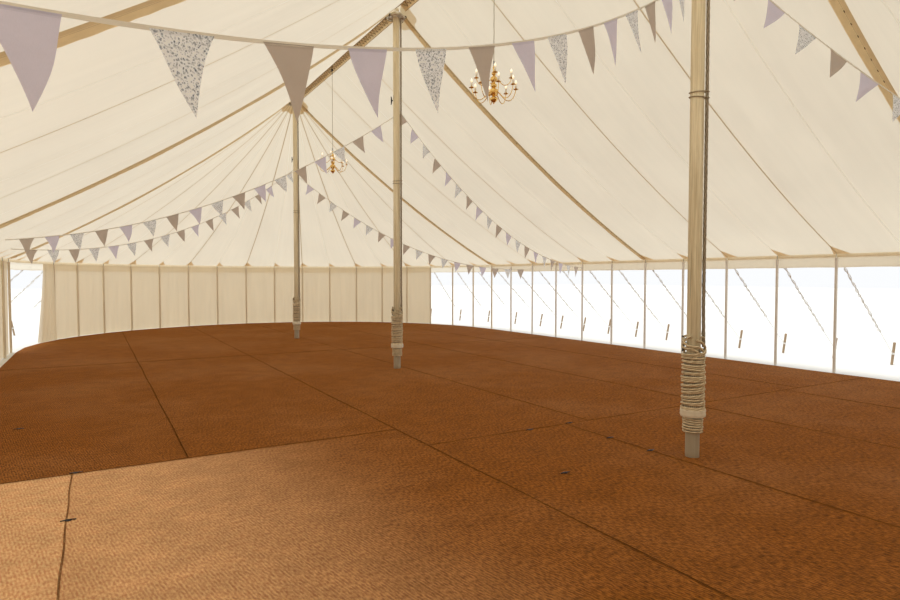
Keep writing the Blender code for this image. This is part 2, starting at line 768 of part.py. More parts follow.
def bunting(number, side, holder, place, inset, height, sag, bare, pitch):
    """A string of pennants from a king pole out to the eave."""
    y = KING_POLES[number]
    end, end_height = string_end(holder, place, inset)
    centre = Vector((0, y))
    span = (end - centre).length
    bearing = math.atan2(end.y - centre.y, end.x - centre.x)
    start = KING_POLE_RADIUS + PLAY

    def line(distance):
        share = distance / span
        return height + (end_height - height) * share - 4 * sag * share * (1 - share)

    def along(distance, step):
        slope = (line(distance + SLOPE_STEP) - line(distance)) / SLOPE_STEP
        return distance + step / math.hypot(1, slope)

    def tape_under(distance):
        return (distance, line(distance) - TAPE_HEIGHT)

    under = [tape_under(start)]
    over = [(start, line(start))]
    left = along(start, bare)
    while along(left, pitch) < span:
        right = along(left, PENNANT_WIDTH)
        middle = (left + right) / 2
        slope = (line(right) - line(left)) / (right - left)
        lean = PENNANT_LEAN * slope / math.hypot(1, slope)
        tip = (middle + lean * PENNANT_LENGTH, line(middle) - TAPE_HEIGHT - PENNANT_LENGTH)
        under += [tape_under(left), tip, tape_under(right)]
        over.append((middle, line(middle)))
        left = along(left, pitch)
    under.append(tape_under(span))
    over.append((span, line(span)))
    name = f"bunting_{number}_{side}"
    made = plate(name, [over + under[::-1]], BUNTING_THICKNESS, ("bunting", BUNTING))
    made.matrix_world = (
        Matrix.Translation((0, y, 0))
        @ Matrix.Rotation(bearing, 4, "Z")
        @ Matrix.Rotation(math.pi / 2, 4, "X")
    )


def main():
    for number, y in KING_POLES.items():
        king_pole(number, y)
        collar_foot = crown(number, y)
        hauling_rope(number, y, collar_foot)
        laced_strap(number, y, "right", 1)
        laced_strap(number, y, "left", -1)
    roof()
    for number in (1, 2):
        start = KING_POLES[number]
        end = KING_POLES[number + 1]
        ridge_band(number, start, end)
        hung = (start + end) / 2 + CHANDELIER_PAST_MIDDLE[number]
        chandelier(number, hung)
        chandelier_rope(number, hung)
    for row in ROWS:
        side_poles(*row)
        guy_ropes(*row)
    for length in WALLS:
        wall(*length)
    door_curtain()
    coir_matting()
    for string in STRINGS:
        bunting(*string)


clear_scene()
PARTS = new_collection("pole_marquee")
CUTTERS = new_collection("pole_marquee_cutters")
main()
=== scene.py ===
"""A traditional canvas pole marquee, dressed: canvas, webbing, timber, rope, brass and matting.

The frame has +Z up and its origin on the ground at the foot of the middle king pole. The ridge runs
along Y. Side-pole places are counted anticlockwise from above, from place 0 on the right (+X) side
abreast of king pole 1, so a place and a distance out from the ridge give a point of the canvas.
"""

import math

import bpy
import numpy as np
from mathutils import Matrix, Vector


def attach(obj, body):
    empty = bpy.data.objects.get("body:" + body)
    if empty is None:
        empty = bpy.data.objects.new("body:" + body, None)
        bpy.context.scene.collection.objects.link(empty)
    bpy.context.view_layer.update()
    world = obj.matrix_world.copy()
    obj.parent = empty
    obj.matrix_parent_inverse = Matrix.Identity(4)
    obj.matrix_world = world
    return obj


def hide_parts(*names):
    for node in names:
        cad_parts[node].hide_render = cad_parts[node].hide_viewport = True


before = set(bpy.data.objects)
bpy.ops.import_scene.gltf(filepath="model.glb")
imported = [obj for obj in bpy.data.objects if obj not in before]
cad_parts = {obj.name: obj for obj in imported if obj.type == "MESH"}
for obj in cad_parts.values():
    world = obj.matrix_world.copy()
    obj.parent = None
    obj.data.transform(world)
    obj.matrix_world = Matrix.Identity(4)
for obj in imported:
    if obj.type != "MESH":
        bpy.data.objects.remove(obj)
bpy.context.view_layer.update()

# Plan and heights.
KING_POLE_SPACING = 6.096
HALF_WIDTH = 6.096
RIDGE_HEIGHT = 6.15
EAVE_HEIGHT = 1.97
ROOF_SAG = 0.26
GAPS_IN_BAY = 6
GAPS_IN_END = 20
BAY_PLACES = 2 * GAPS_IN_BAY
FAR_END = BAY_PLACES
LEFT_SIDE = BAY_PLACES + GAPS_IN_END
NEAR_END = 2 * BAY_PLACES + GAPS_IN_END
PLACES = 2 * BAY_PLACES + 2 * GAPS_IN_END
PLACE_WIDTH = KING_POLE_SPACING / GAPS_IN_BAY
KING_POLES = {1: -KING_POLE_SPACING, 2: 0.0, 3: KING_POLE_SPACING}
KING_POLE_PLACES = (0, 6, 12, 32, 38, 44)
DOORWAY = (29, 32)

ROWS = [
    ("right_bay_1", 0, 6),
    ("right_bay_2", 6, 12),
    ("far_end_right", 12, 22),
    ("far_end_left", 22, 32),
    ("left_bay_2", 32, 38),
    ("left_bay_1", 38, 44),
    ("near_end_left", 44, 54),
    ("near_end_right", 54, 64),
]
WALLS = [
    ("far_end_right", 15, 22),
    ("far_end_left", 22, 29),
    ("left_bay_2", 32, 38),
    ("left_bay_1", 38, 44),
    ("near_end_left", 44, 54),
    ("near_end_right", 54, 61),
]
# Bunting: king pole, side, place at the eave, how far in from the eave it ends, height there (None for
# the canvas), height at the king pole, sag, bare tape before the first pennant, pitch, and the cloths
# from the pole outwards: taupe, lilac and speckled by their first letters, over and over. Any further
# values are the share of a pitch that each step adds, the size of the cloths, and small shifts of the
# last ones.
STRINGS = [
    (1, "left", 46, 0.553, None, 4.174, 0.408, 0.291, 0.3213, "slt", 0.0266, 1.08, (-0.012, -0.018, 0.014)),
    (1, "right", 61.5, 0.0092, 1.94, 4.475, 0.54, 0.355, 0.3626, "tls", 0.0, 0.90),
    (2, "left", 36, 0.386, None, 4.34, 0.486, 0.243, 0.3626, "lts"),
    (2, "right", 8, 0.055, 1.83, 4.488, 0.640, 0.042, 0.3626, "tls"),
    (3, "left", 34, 0.267, None, 4.37, 0.663, 0.071, 0.3626, "stltststltstslstst"),
    (3, "right", 10, 0.055, 1.82, 4.22, 0.725, 0.310, 0.3626, "ltstlstltstslt"),
]


# Plan and canvas


def corner(place, outset):
    """Points of the plan at whole places, a distance outside the eave line."""
    place = np.mod(place, PLACES)
    radius = HALF_WIDTH + outset
    far = np.pi * (place - FAR_END) / GAPS_IN_END
    near = np.pi * (1 + (place - NEAR_END) / GAPS_IN_END)
    in_row = [place <= FAR_END, place <= LEFT_SIDE, place <= NEAR_END]
    x = np.select(in_row, [radius, radius * np.cos(far), -radius], radius * np.cos(near))
    y = np.select(
        in_row,
        [
            place * PLACE_WIDTH - KING_POLE_SPACING,
            KING_POLE_SPACING + radius * np.sin(far),
            KING_POLE_SPACING - (place - LEFT_SIDE) * PLACE_WIDTH,
        ],
        radius * np.sin(near) - KING_POLE_SPACING,
    )
    return np.stack([x, y], -1)


def plan(place, outset=0.0):
    """Points of the plan at any places, straight from each side pole to the next."""
    place, outset = np.broadcast_arrays(np.asarray(place, float), np.asarray(outset, float))
    low = np.floor(place)
    share = (place - low)[..., None]
    return corner(low, outset) * (1 - share) + corner(low + 1, outset) * share


def joined(*coordinates):
    """Points, or places in the cut, from coordinates of any shapes that fit together."""
    return np.stack(np.broadcast_arrays(*coordinates), -1)


def raised(flat, height):
    """Points of the plan at their heights."""
    return joined(flat[..., 0], flat[..., 1], height)


def fall(radius):
    """The height of the canvas at a distance from the ridge or the outer king pole."""
    share = radius / HALF_WIDTH
    return RIDGE_HEIGHT - (RIDGE_HEIGHT - EAVE_HEIGHT) * share - 4 * ROOF_SAG * share * (1 - share)


CLOTH_SAG = 0.035


def cloth_sag(place, radius):
    """How far the canvas hangs below its seam tapes, which lie at the even places."""
    share = radius / HALF_WIDTH
    place = np.mod(place, PLACES)
    in_end = ((place > FAR_END) & (place < LEFT_SIDE)) | (place > NEAR_END)
    spread = np.where(in_end, share, 1.0)
    down = np.sqrt(np.clip(4 * share * (1 - share), 0, 1))
    return CLOTH_SAG * np.abs(np.sin(np.pi * place / 2)) * down * spread


def canvas_at(place, radius, drop=0.0):
    """Points under the canvas, at places round the eave and distances out from the ridge."""
    place, radius = np.broadcast_arrays(np.asarray(place, float), np.asarray(radius, float))
    height = fall(radius) - cloth_sag(place, radius) - drop
    return raised(plan(place, radius - HALF_WIDTH), height)


def place_step(place, radius):
    """How far one place is along the canvas, at a distance out from the ridge."""
    in_end = (FAR_END <= place < LEFT_SIDE) or place >= NEAR_END
    return math.pi * radius / GAPS_IN_END if in_end else PLACE_WIDTH


def slope_length(radius):
    """The length of the canvas from the ridge out to one or more distances from it."""
    steps = np.linspace(0, radius, 200)
    return np.hypot(np.diff(steps, axis=0), np.diff(fall(steps), axis=0)).sum(0)


def run_along(path):
    """How far each point of a path is from the first, along the path."""
    return np.concatenate([[0], np.cumsum(np.linalg.norm(np.diff(path, axis=0), axis=1))])


def heading(angle):
    """The level direction at an angle."""
    return np.array([math.cos(angle), math.sin(angle), 0])


# Shader sums


class Field:
    """A socket of a finish, with the arithmetic of numbers."""

    def __init__(self, finish, socket):
        self.finish = finish
        self.socket = socket

    def maths(self, operation, *others):
        return self.finish.maths(operation, self, *others)

    def __add__(self, other):
        return self.maths("ADD", other)

    __radd__ = __add__

    def __sub__(self, other):
        return self.maths("SUBTRACT", other)

    def __rsub__(self, other):
        return self.finish.maths("SUBTRACT", other, self)

    def __mul__(self, other):
        return self.maths("MULTIPLY", other)

    def __truediv__(self, other):
        return self.maths("DIVIDE", other)

    def __abs__(self):
        return self.maths("ABSOLUTE")

    def __mod__(self, other):
        return self.maths("FLOORED_MODULO", other)

    def sine(self):
        return self.maths("SINE")

    def wave(self, pitch):
        """Goes up and down once in every pitch."""
        return (self * (2 * math.pi / pitch)).sine()

    def over(self, level):
        return self.maths("GREATER_THAN", level)

    def under(self, level):
        return self.maths("LESS_THAN", level)

    def ramp(self, low, high, first=0.0, last=1.0):
        """Rises smoothly from first to last as this goes from low to high."""
        sockets = {"Value": self, "From Min": low, "From Max": high, "To Min": first, "To Max": last}
        return self.finish.add("MapRange", {"interpolation_type": "SMOOTHSTEP"}, sockets)

    def band(self, centre, reach, soft):
        """One within a reach of a centre, and nought beyond a soft edge."""
        return 1.0 - abs(self - centre).ramp(reach, reach + soft)


class Finish:
    """A material, built up node by node."""

    def __init__(self, name):
        self.made = bpy.data.materials.new(name)
        self.made.use_nodes = True
        self.tree = self.made.node_tree
        self.tree.nodes.clear()

    def add(self, kind, settings=None, sockets=None, out=0):
        """A node of a kind: its settings first, then the values or links of its sockets."""
        node = self.tree.nodes.new("ShaderNode" + kind)
        for key, value in (settings or {}).items():
            if key == "stops":
                self.stops(node.color_ramp, value)
            else:
                setattr(node, key, value)
        for key, value in (sockets or {}).items():
            self.feed(node.inputs[key], value)
        return Field(self, node.outputs[out])

    def stops(self, colours, stops):
        while len(colours.elements) < len(stops):
            colours.elements.new(1.0)
        for element, (position, colour) in zip(colours.elements, stops):
            element.position = position
            element.color = (*colour, 1)

    def feed(self, socket, value):
        if isinstance(value, Field):
            self.tree.links.new(value.socket, socket)
        elif isinstance(value, tuple) and len(value) == 3 and socket.type == "RGBA":
            socket.default_value = (*value, 1)
        else:
            socket.default_value = value

    def maths(self, operation, *values):
        return self.add("Math", {"operation": operation}, dict(enumerate(values)))

    def mix(self, share, first, second):
        """A colour between two others."""
        sockets = {0: share, 6: first, 7: second}
        return self.add("Mix", {"data_type": "RGBA", "clamp_factor": True}, sockets, out=2)

    def tint(self, colour, amount):
        """A colour made lighter or darker by a factor that varies."""
        return self.add("VectorMath", {"operation": "SCALE"}, {0: colour, "Scale": amount})

    def cut(self):
        """The place in the cut cloth or round and along the piece, in metres."""
        where = self.add("UVMap", {"uv_map": "cut"})
        return [self.add("SeparateXYZ", None, {0: where}, out=axis) for axis in (0, 1)]

    def at(self, x, y):
        return self.add("CombineXYZ", None, {0: x, 1: y})

    def position(self):
        return self.add("TexCoord", None, None, out="Object")

    def noise(self, where, scale, detail=3.0, rough=0.5):
        sockets = {"Vector": where, "Scale": scale, "Detail": detail, "Roughness": rough}
        return self.add("TexNoise", None, sockets)

    def grain(self, x, y, detail, rough=0.5):
        return self.noise(self.at(x, y), 1.0, detail, rough)

    def cells(self, where, scale):
        return self.add("TexVoronoi", None, {"Vector": where, "Scale": scale}, out="Distance")

    def close(self, colour, roughness, height=None, reach=0.001, through=None, share=0.0, **sockets):
        """Ends the material in its shader, with light let through where the cloth is thin."""
        feeds = {"Base Color": colour, "Roughness": roughness}
        for key, value in sockets.items():
            feeds[key.replace("_", " ").title().replace("Ior", "IOR")] = value
        if height is not None:
            feeds["Normal"] = self.add("Bump", None, {"Height": height, "Strength": 1.0, "Distance": reach})
        shader = self.add("BsdfPrincipled", None, feeds)
        if through is not None:
            glow = self.add("BsdfTranslucent", None, {"Color": through})
            shader = self.add("MixShader", None, {0: share, 1: shader, 2: glow})
        end = self.tree.nodes.new("ShaderNodeOutputMaterial")
        self.tree.links.new(shader.socket, end.inputs["Surface"])
        return self.made


# Finishes


def weave(x, y, pitch):
    """The small height of a plain weave of threads at a pitch."""
    return x.wave(pitch) * y.wave(pitch)


CANVAS_GLOW = (0.88, 0.822, 0.670)
# Painted shade: the walls let through a darker, warmer light than the same canvas in the roof.
SHADED_WALL_GLOW = (0.83, 0.685, 0.475)
CANVAS_WIDTH = 0.914
STRANDS = 3


def canvas_finish(
    name, layers=1, glow=0.46, through=CANVAS_GLOW, fold_shade_amount=0.010,
    seam_every=None, tapes_every=None, tan_edge=False,
):
    """Cream cotton canvas, a little stained, that lets daylight through in proportion to its layers, with
    painted fold shade in long soft bands and next to its tapes.
    """
    finish = Finish(name)
    x, y = finish.cut()
    here = finish.at(x, y)
    cloud = finish.noise(here, 0.9, 4.0, 0.55)
    streak_and_fold_shade = finish.grain(x * 9.0, y * 0.7, 3.0)
    fleck = finish.noise(here, 46.0, 2.0).ramp(0.70, 0.80)
    warm = finish.mix(cloud.ramp(0.30, 0.72), (0.79, 0.73, 0.61), (0.82, 0.74, 0.59))
    colour = finish.tint(warm, streak_and_fold_shade.ramp(0.2, 0.8, 0.965, 1.02) - fleck * 0.08)
    # The same noise tints the colour a little and also varies the light let through, as painted fold shade.
    share = glow / layers + cloud.ramp(0.3, 0.7, -0.012, 0.012) + streak_and_fold_shade.ramp(0.3, 0.7, -fold_shade_amount, fold_shade_amount)
    if tapes_every:
        # Painted shade: less light comes through next to each tape, where the cloth sags, and in soft folds
        # along the slope.
        tape_sag_shade = abs((x % tapes_every) - tapes_every / 2).ramp(tapes_every / 2 - 0.35, tapes_every / 2)
        fold_shade_grain = finish.grain(x * 1.6, y * 0.35, 2.0)
        share = share - tape_sag_shade * 0.016 + fold_shade_grain.ramp(0.3, 0.7, -0.008, 0.008)
    height = weave(x, y, 0.0016) * 0.15 + finish.noise(here, 6.0, 3.0)
    if seam_every:
        across = abs((x % seam_every) - seam_every / 2)
        seam = across.ramp(seam_every / 2 - 0.011, seam_every / 2 - 0.008)
        share = share * (1.0 - seam * 0.30)
        height = height + seam * 0.5
    if tan_edge:
        upper = 1.0 - y.ramp(0.085, 0.105)
        hem = y.ramp(0.196, 0.200)
        colour = finish.mix(upper * 0.20 + hem * 0.25, colour, (0.80, 0.64, 0.42))
        share = share * (1.0 - upper * 0.05 - hem * 0.20)
    return finish.close(
        colour, 0.85, height, 0.0008, through=through, share=share, sheen_weight=0.15, sheen_roughness=0.6
    )


def webbing_finish(name, colour, glow, line_width=None, through=(0.90, 0.76, 0.52)):
    """Tan cotton webbing, ribbed across, with a darker line down the middle of a tape of a given width."""
    finish = Finish(name)
    x, y = finish.cut()
    mottle = finish.noise(finish.at(x * 3.0, y), 7.0, 4.0)
    fibre = finish.grain(x * 220.0, y * 14.0, 2.0)
    base = finish.tint(colour, mottle.ramp(0.25, 0.75, 0.92, 1.06) * fibre.ramp(0.2, 0.8, 0.96, 1.04))
    height = y.wave(0.0022) * 0.3 + x.wave(0.0045) * 0.3
    share = glow + mottle.ramp(0.3, 0.7, -0.02, 0.02)
    if line_width:
        cord = x.band(line_width * 0.62, line_width * 0.14, line_width * 0.10)
        base = finish.mix(cord * 0.45, base, (0.34, 0.25, 0.15))
        share = share - cord * 0.14
        height = height + cord * 1.5
    return finish.close(base, 0.82, height, 0.0006, through=through, share=share)


def strap_finish(name, width, tan=(0.74, 0.61, 0.40), brown=(0.66, 0.51, 0.33), dashes=0.6):
    """The laced strap: a bright selvedge, gold-tan webbing, a row of lacing and, beyond it, a third in brown
    painted shade.
    """
    finish = Finish(name)
    x, y = finish.cut()
    mottle = finish.noise(finish.at(x * 3.0, y), 7.0, 4.0)
    fibre = finish.grain(x * 240.0, y * 16.0, 2.0)
    edge = x.under(width * 0.07)
    # Painted shade: the flap beyond the lacing is coloured brown and lets less light through.
    smooth = x.ramp(width * 0.64, width * 0.70)
    rim = x.over(width * 0.95)
    colour = finish.mix(smooth * 0.85, tan, brown)
    colour = finish.mix(edge * 0.8, colour, (0.92, 0.78, 0.52))
    row = x.band(width * 0.55, width * 0.022, width * 0.015)
    dash = ((y / 0.035) % 1.0).under(0.55)
    seam = x.band(width * 0.60, width * 0.012, width * 0.012)
    colour = finish.mix(row * dash * dashes, colour, (0.90, 0.78, 0.56))
    colour = finish.mix(seam * 0.45, colour, (0.24, 0.15, 0.08))
    colour = finish.tint(colour, mottle.ramp(0.25, 0.75, 0.90, 1.08) * fibre.ramp(0.2, 0.8, 0.96, 1.04))
    share = 0.42 - smooth * 0.08 - seam * 0.15 + edge * 0.16 + mottle.ramp(0.3, 0.7, -0.02, 0.02)
    height = y.wave(0.0022) * 0.2 + row * dash + rim + edge
    return finish.close(colour, 0.82, height, 0.0007, through=(0.92, 0.74, 0.46), share=share)


def ridge_finish(name, width):
    """The webbing under the ridge: a pale strip between dark lines, the laced middle and a tan edge."""
    finish = Finish(name)
    x, y = finish.cut()
    mottle = finish.grain(x * 30.0, y * 9.0, 4.0, 0.65)
    fibre = finish.grain(x * 240.0, y * 16.0, 2.0)
    across = x / width
    stops = [
        (0.0, (0.20, 0.13, 0.07)), (0.035, (0.20, 0.13, 0.07)), (0.055, (0.80, 0.67, 0.46)),
        (0.24, (0.76, 0.62, 0.41)), (0.26, (0.16, 0.10, 0.05)), (0.30, (0.16, 0.10, 0.05)),
        (0.33, (0.62, 0.47, 0.28)), (0.56, (0.72, 0.56, 0.35)), (0.82, (0.60, 0.45, 0.27)),
        (0.86, (0.84, 0.70, 0.48)), (1.0, (0.86, 0.72, 0.50)),
    ]
    colour = finish.add("ValToRGB", {"stops": stops}, {0: across})
    laced = across.ramp(0.31, 0.34) - across.ramp(0.82, 0.86)
    tone = 1.0 + laced * mottle.ramp(0.30, 0.70, -0.30, 0.22) + fibre.ramp(0.2, 0.8, -0.04, 0.04)
    colour = finish.tint(colour, tone)
    share = 0.48 - laced * 0.08 + laced * mottle.ramp(0.3, 0.7, -0.08, 0.06)
    height = mottle * laced * 1.4 + y.wave(0.0022) * 0.2
    return finish.close(colour, 0.84, height, 0.0008, through=(0.90, 0.72, 0.46), share=share)


def timber_finish(name, light, dark, knots=0.0, lit_above_shaded_foot=False):
    """Weathered timber with grain along it, checks and a few knots, and if asked, painted light that brightens
    it upwards and painted shade that darkens and greys its foot.
    """
    finish = Finish(name)
    x, y = finish.cut()
    bend = finish.noise(finish.at(x * 2.0, y * 0.6), 2.0, 2.0) * 0.03
    grain = finish.grain((x + bend) * 70.0, y * 1.6, 5.0, 0.6)
    broad = finish.grain(x * 9.0, y * 0.5, 3.0)
    fine = finish.grain((x + bend) * 420.0, y * 12.0, 2.0)
    check = finish.grain((x + bend) * 60.0, y * 0.9, 2.0).ramp(0.68, 0.72)
    share = grain.ramp(0.25, 0.75) * 0.50 + broad.ramp(0.25, 0.75) * 0.38 + fine.ramp(0.2, 0.8) * 0.12
    colour = finish.mix(share, dark, light)
    colour = finish.tint(colour, 1.0 - check * 0.45)
    if lit_above_shaded_foot:
        # Painted light: up to a quarter lighter towards the head.
        colour = finish.tint(colour, y.ramp(1.8, 5.2, 1.02, 1.24))
        # Painted shade: darker and greyer towards the foot.
        colour = finish.mix((1.0 - y.ramp(0.20, 1.50)) * 0.80, colour, (0.33, 0.285, 0.225))
    if knots:
        spot = finish.cells(finish.at(x * 7.0, y * 2.0), 1.0)
        knot = 1.0 - spot.ramp(0.05, knots)
        colour = finish.mix(knot * 0.75, colour, (0.08, 0.05, 0.03))
    height = grain * 0.6 + fine * 0.25 - check * 1.2
    roughness = share.ramp(0.2, 0.9, 0.66, 0.50)
    return finish.close(colour, roughness, height, 0.0016)


def rope_finish(name, light, dark, pitch=0.06, around=0.1):
    """Laid rope: strands that wind round it, with painted shade in the grooves between them, loose fibres and a
    little dirt.
    """
    finish = Finish(name)
    x, y = finish.cut()
    lay = (x * (STRANDS * 2 * math.pi / around) + y * (2 * math.pi / pitch)).sine()
    fibre = finish.grain(x * 260.0 + y * 120.0, y * 60.0, 3.0)
    dirt = finish.noise(finish.at(x, y), 5.0, 3.0)
    # Painted shade: the dark colour falls in the grooves between the strands.
    share = lay.ramp(-0.9, 0.5) * 0.6 + fibre.ramp(0.25, 0.75) * 0.4
    colour = finish.tint(finish.mix(share, dark, light), dirt.ramp(0.3, 0.8, 1.04, 0.86))
    return finish.close(colour, 0.88, lay * 0.6 + fibre * 0.5, 0.0015)


def steel_finish(name, light, dark):
    """Galvanised steel, dulled in patches and scuffed."""
    finish = Finish(name)
    where = finish.position()
    patch = finish.noise(where, 14.0, 4.0)
    scuff = finish.noise(where, 160.0, 2.0)
    colour = finish.mix(patch.ramp(0.35, 0.65), dark, light)
    roughness = patch.ramp(0.3, 0.7, 0.42, 0.24) + scuff.ramp(0.4, 0.7, 0.0, 0.12)
    return finish.close(colour, roughness, scuff, 0.0004, metallic=1.0)


def brass_finish(name):
    """Polished brass with darker lacquer wear in the hollows."""
    finish = Finish(name)
    where = finish.position()
    wear = finish.noise(where, 30.0, 4.0)
    fine = finish.noise(where, 240.0, 2.0)
    colour = finish.mix(wear.ramp(0.35, 0.7), (0.95, 0.68, 0.27), (0.74, 0.45, 0.13))
    roughness = wear.ramp(0.3, 0.8, 0.16, 0.34) + fine.ramp(0.4, 0.8, 0.0, 0.06)
    return finish.close(colour, roughness, fine, 0.0002, metallic=1.0)


def plain_finish(name, colour, roughness, grain=90.0, spread=0.08, **sockets):
    """A fairly even finish with a fine grain and a little unevenness of tone."""
    finish = Finish(name)
    where = finish.position()
    tone = finish.noise(where, grain / 6, 3.0)
    fine = finish.noise(where, grain, 3.0)
    tinted = finish.tint(colour, tone.ramp(0.3, 0.7, 1 - spread, 1 + spread))
    dull = fine.ramp(0.3, 0.7, roughness - 0.06, roughness + 0.06)
    return finish.close(tinted, dull, fine, 0.0006, **sockets)


def flame_finish(name):
    """The glowing glass of a candle lamp, whiter at its heart."""
    finish = Finish(name)
    x, y = finish.cut()
    heart = y.ramp(0.0, 0.03)
    glow = finish.mix(heart, (1.0, 0.66, 0.32), (1.0, 0.87, 0.66))
    return finish.close((0.95, 0.9, 0.8), 0.2, emission_color=glow, emission_strength=0.75)


def pennant_finish(name, colour, speckled=False, painted_glow=(0.0, 0.0, 0.0)):
    """Cotton pennant cloth with a fine weave, plain or in a small irregular speckle, with a faint emission as
    painted light on its face.
    """
    finish = Finish(name)
    x, y = finish.cut()
    here = finish.at(x, y)
    tone = finish.noise(here, 8.0, 3.0)
    thread = finish.grain(x * 900.0, y * 90.0, 2.0)
    base = finish.tint(colour, tone.ramp(0.3, 0.7, 0.95, 1.05) * thread.ramp(0.2, 0.8, 0.95, 1.05))
    share = tone.ramp(0.3, 0.7, 0.38, 0.42)
    if speckled:
        warp = finish.noise(here, 90.0, 2.0) * 0.008
        leaf = 1.0 - finish.cells(finish.at(x + warp, y - warp), 100.0).ramp(0.28, 0.40)
        bud = 1.0 - finish.cells(finish.at(x - warp + 0.37, y + warp), 128.0).ramp(0.34, 0.46)
        seed = 1.0 - finish.cells(finish.at(x + 0.71, y + warp), 52.0).ramp(0.13, 0.18)
        base = finish.mix(bud * 0.66, base, (0.31, 0.31, 0.30))
        base = finish.mix(leaf * 0.82, base, (0.13, 0.14, 0.15))
        base = finish.mix(seed * 0.95, base, (0.015, 0.02, 0.05))
        share = share * (1.0 - bud * 0.45) * (1.0 - leaf * 0.75) * (1.0 - seed * 0.95)
    hem = y.under(0.012)
    base = finish.tint(base, 1.0 - hem * 0.16)
    height = weave(x, y, 0.0011) * 0.3 + hem
    # Painted light: the emission stands in for daylight falling on the cloth.
    lights = {"sheen_weight": 0.1, "emission_color": painted_glow, "emission_strength": 0.12}
    return finish.close(base, 0.86, height, 0.0004, through=colour, share=share, **lights)


def coir_finish(name):
    """Coir matting in strips: a slanting rib of coarse yarn, paler towards the near left partly from wear and
    partly as painted light, and a little paler in patches.
    """
    finish = Finish(name)
    x, y = finish.cut()
    strip = finish.add("TexWhiteNoise", {"noise_dimensions": "2D"}, {"Vector": finish.at(x / 2.0, 3.0)})
    wide = finish.noise(finish.at(x, y), 0.5, 3.0)
    mid = finish.noise(finish.at(x, y), 4.0, 4.0, 0.6)
    wander = finish.noise(finish.at(x, y), 9.0, 2.0) * 0.010
    across, down = x * 0.986 + y * 0.166, y * 0.986 - x * 0.166
    rib = (across + wander).wave(0.0185)
    knot = finish.grain(across * 78.0, down * 27.0, 2.0)
    fibre = finish.grain(x * 120.0, y * 120.0, 4.0, 0.7)
    lift = rib * 0.22 + knot * 3.4 + fibre * 1.4
    share = lift.ramp(1.45, 3.45)
    colour = finish.mix(share, (0.105, 0.032, 0.003), (0.44, 0.150, 0.017))
    # Paler towards the near left: partly wear, partly painted light from the open side.
    trodden_and_lit = x.under(-4.72) * 0.20 + (1.0 - x.ramp(-4.6, -2.2)) * 0.80
    worn_and_lit = trodden_and_lit * (1.0 - y.ramp(-4.0, -3.9)) + wide.ramp(0.40, 0.70) * 0.06
    colour = finish.mix(worn_and_lit, colour, finish.mix(share, (0.72, 0.325, 0.160), (1.0, 0.690, 0.375)))
    tone = mid.ramp(0.25, 0.75, 0.88, 1.10) * (0.95 + strip * 0.10)
    return finish.close(finish.tint(colour, tone), 0.92, lift, 0.004, specular_ior_level=0.1)


# Meshes


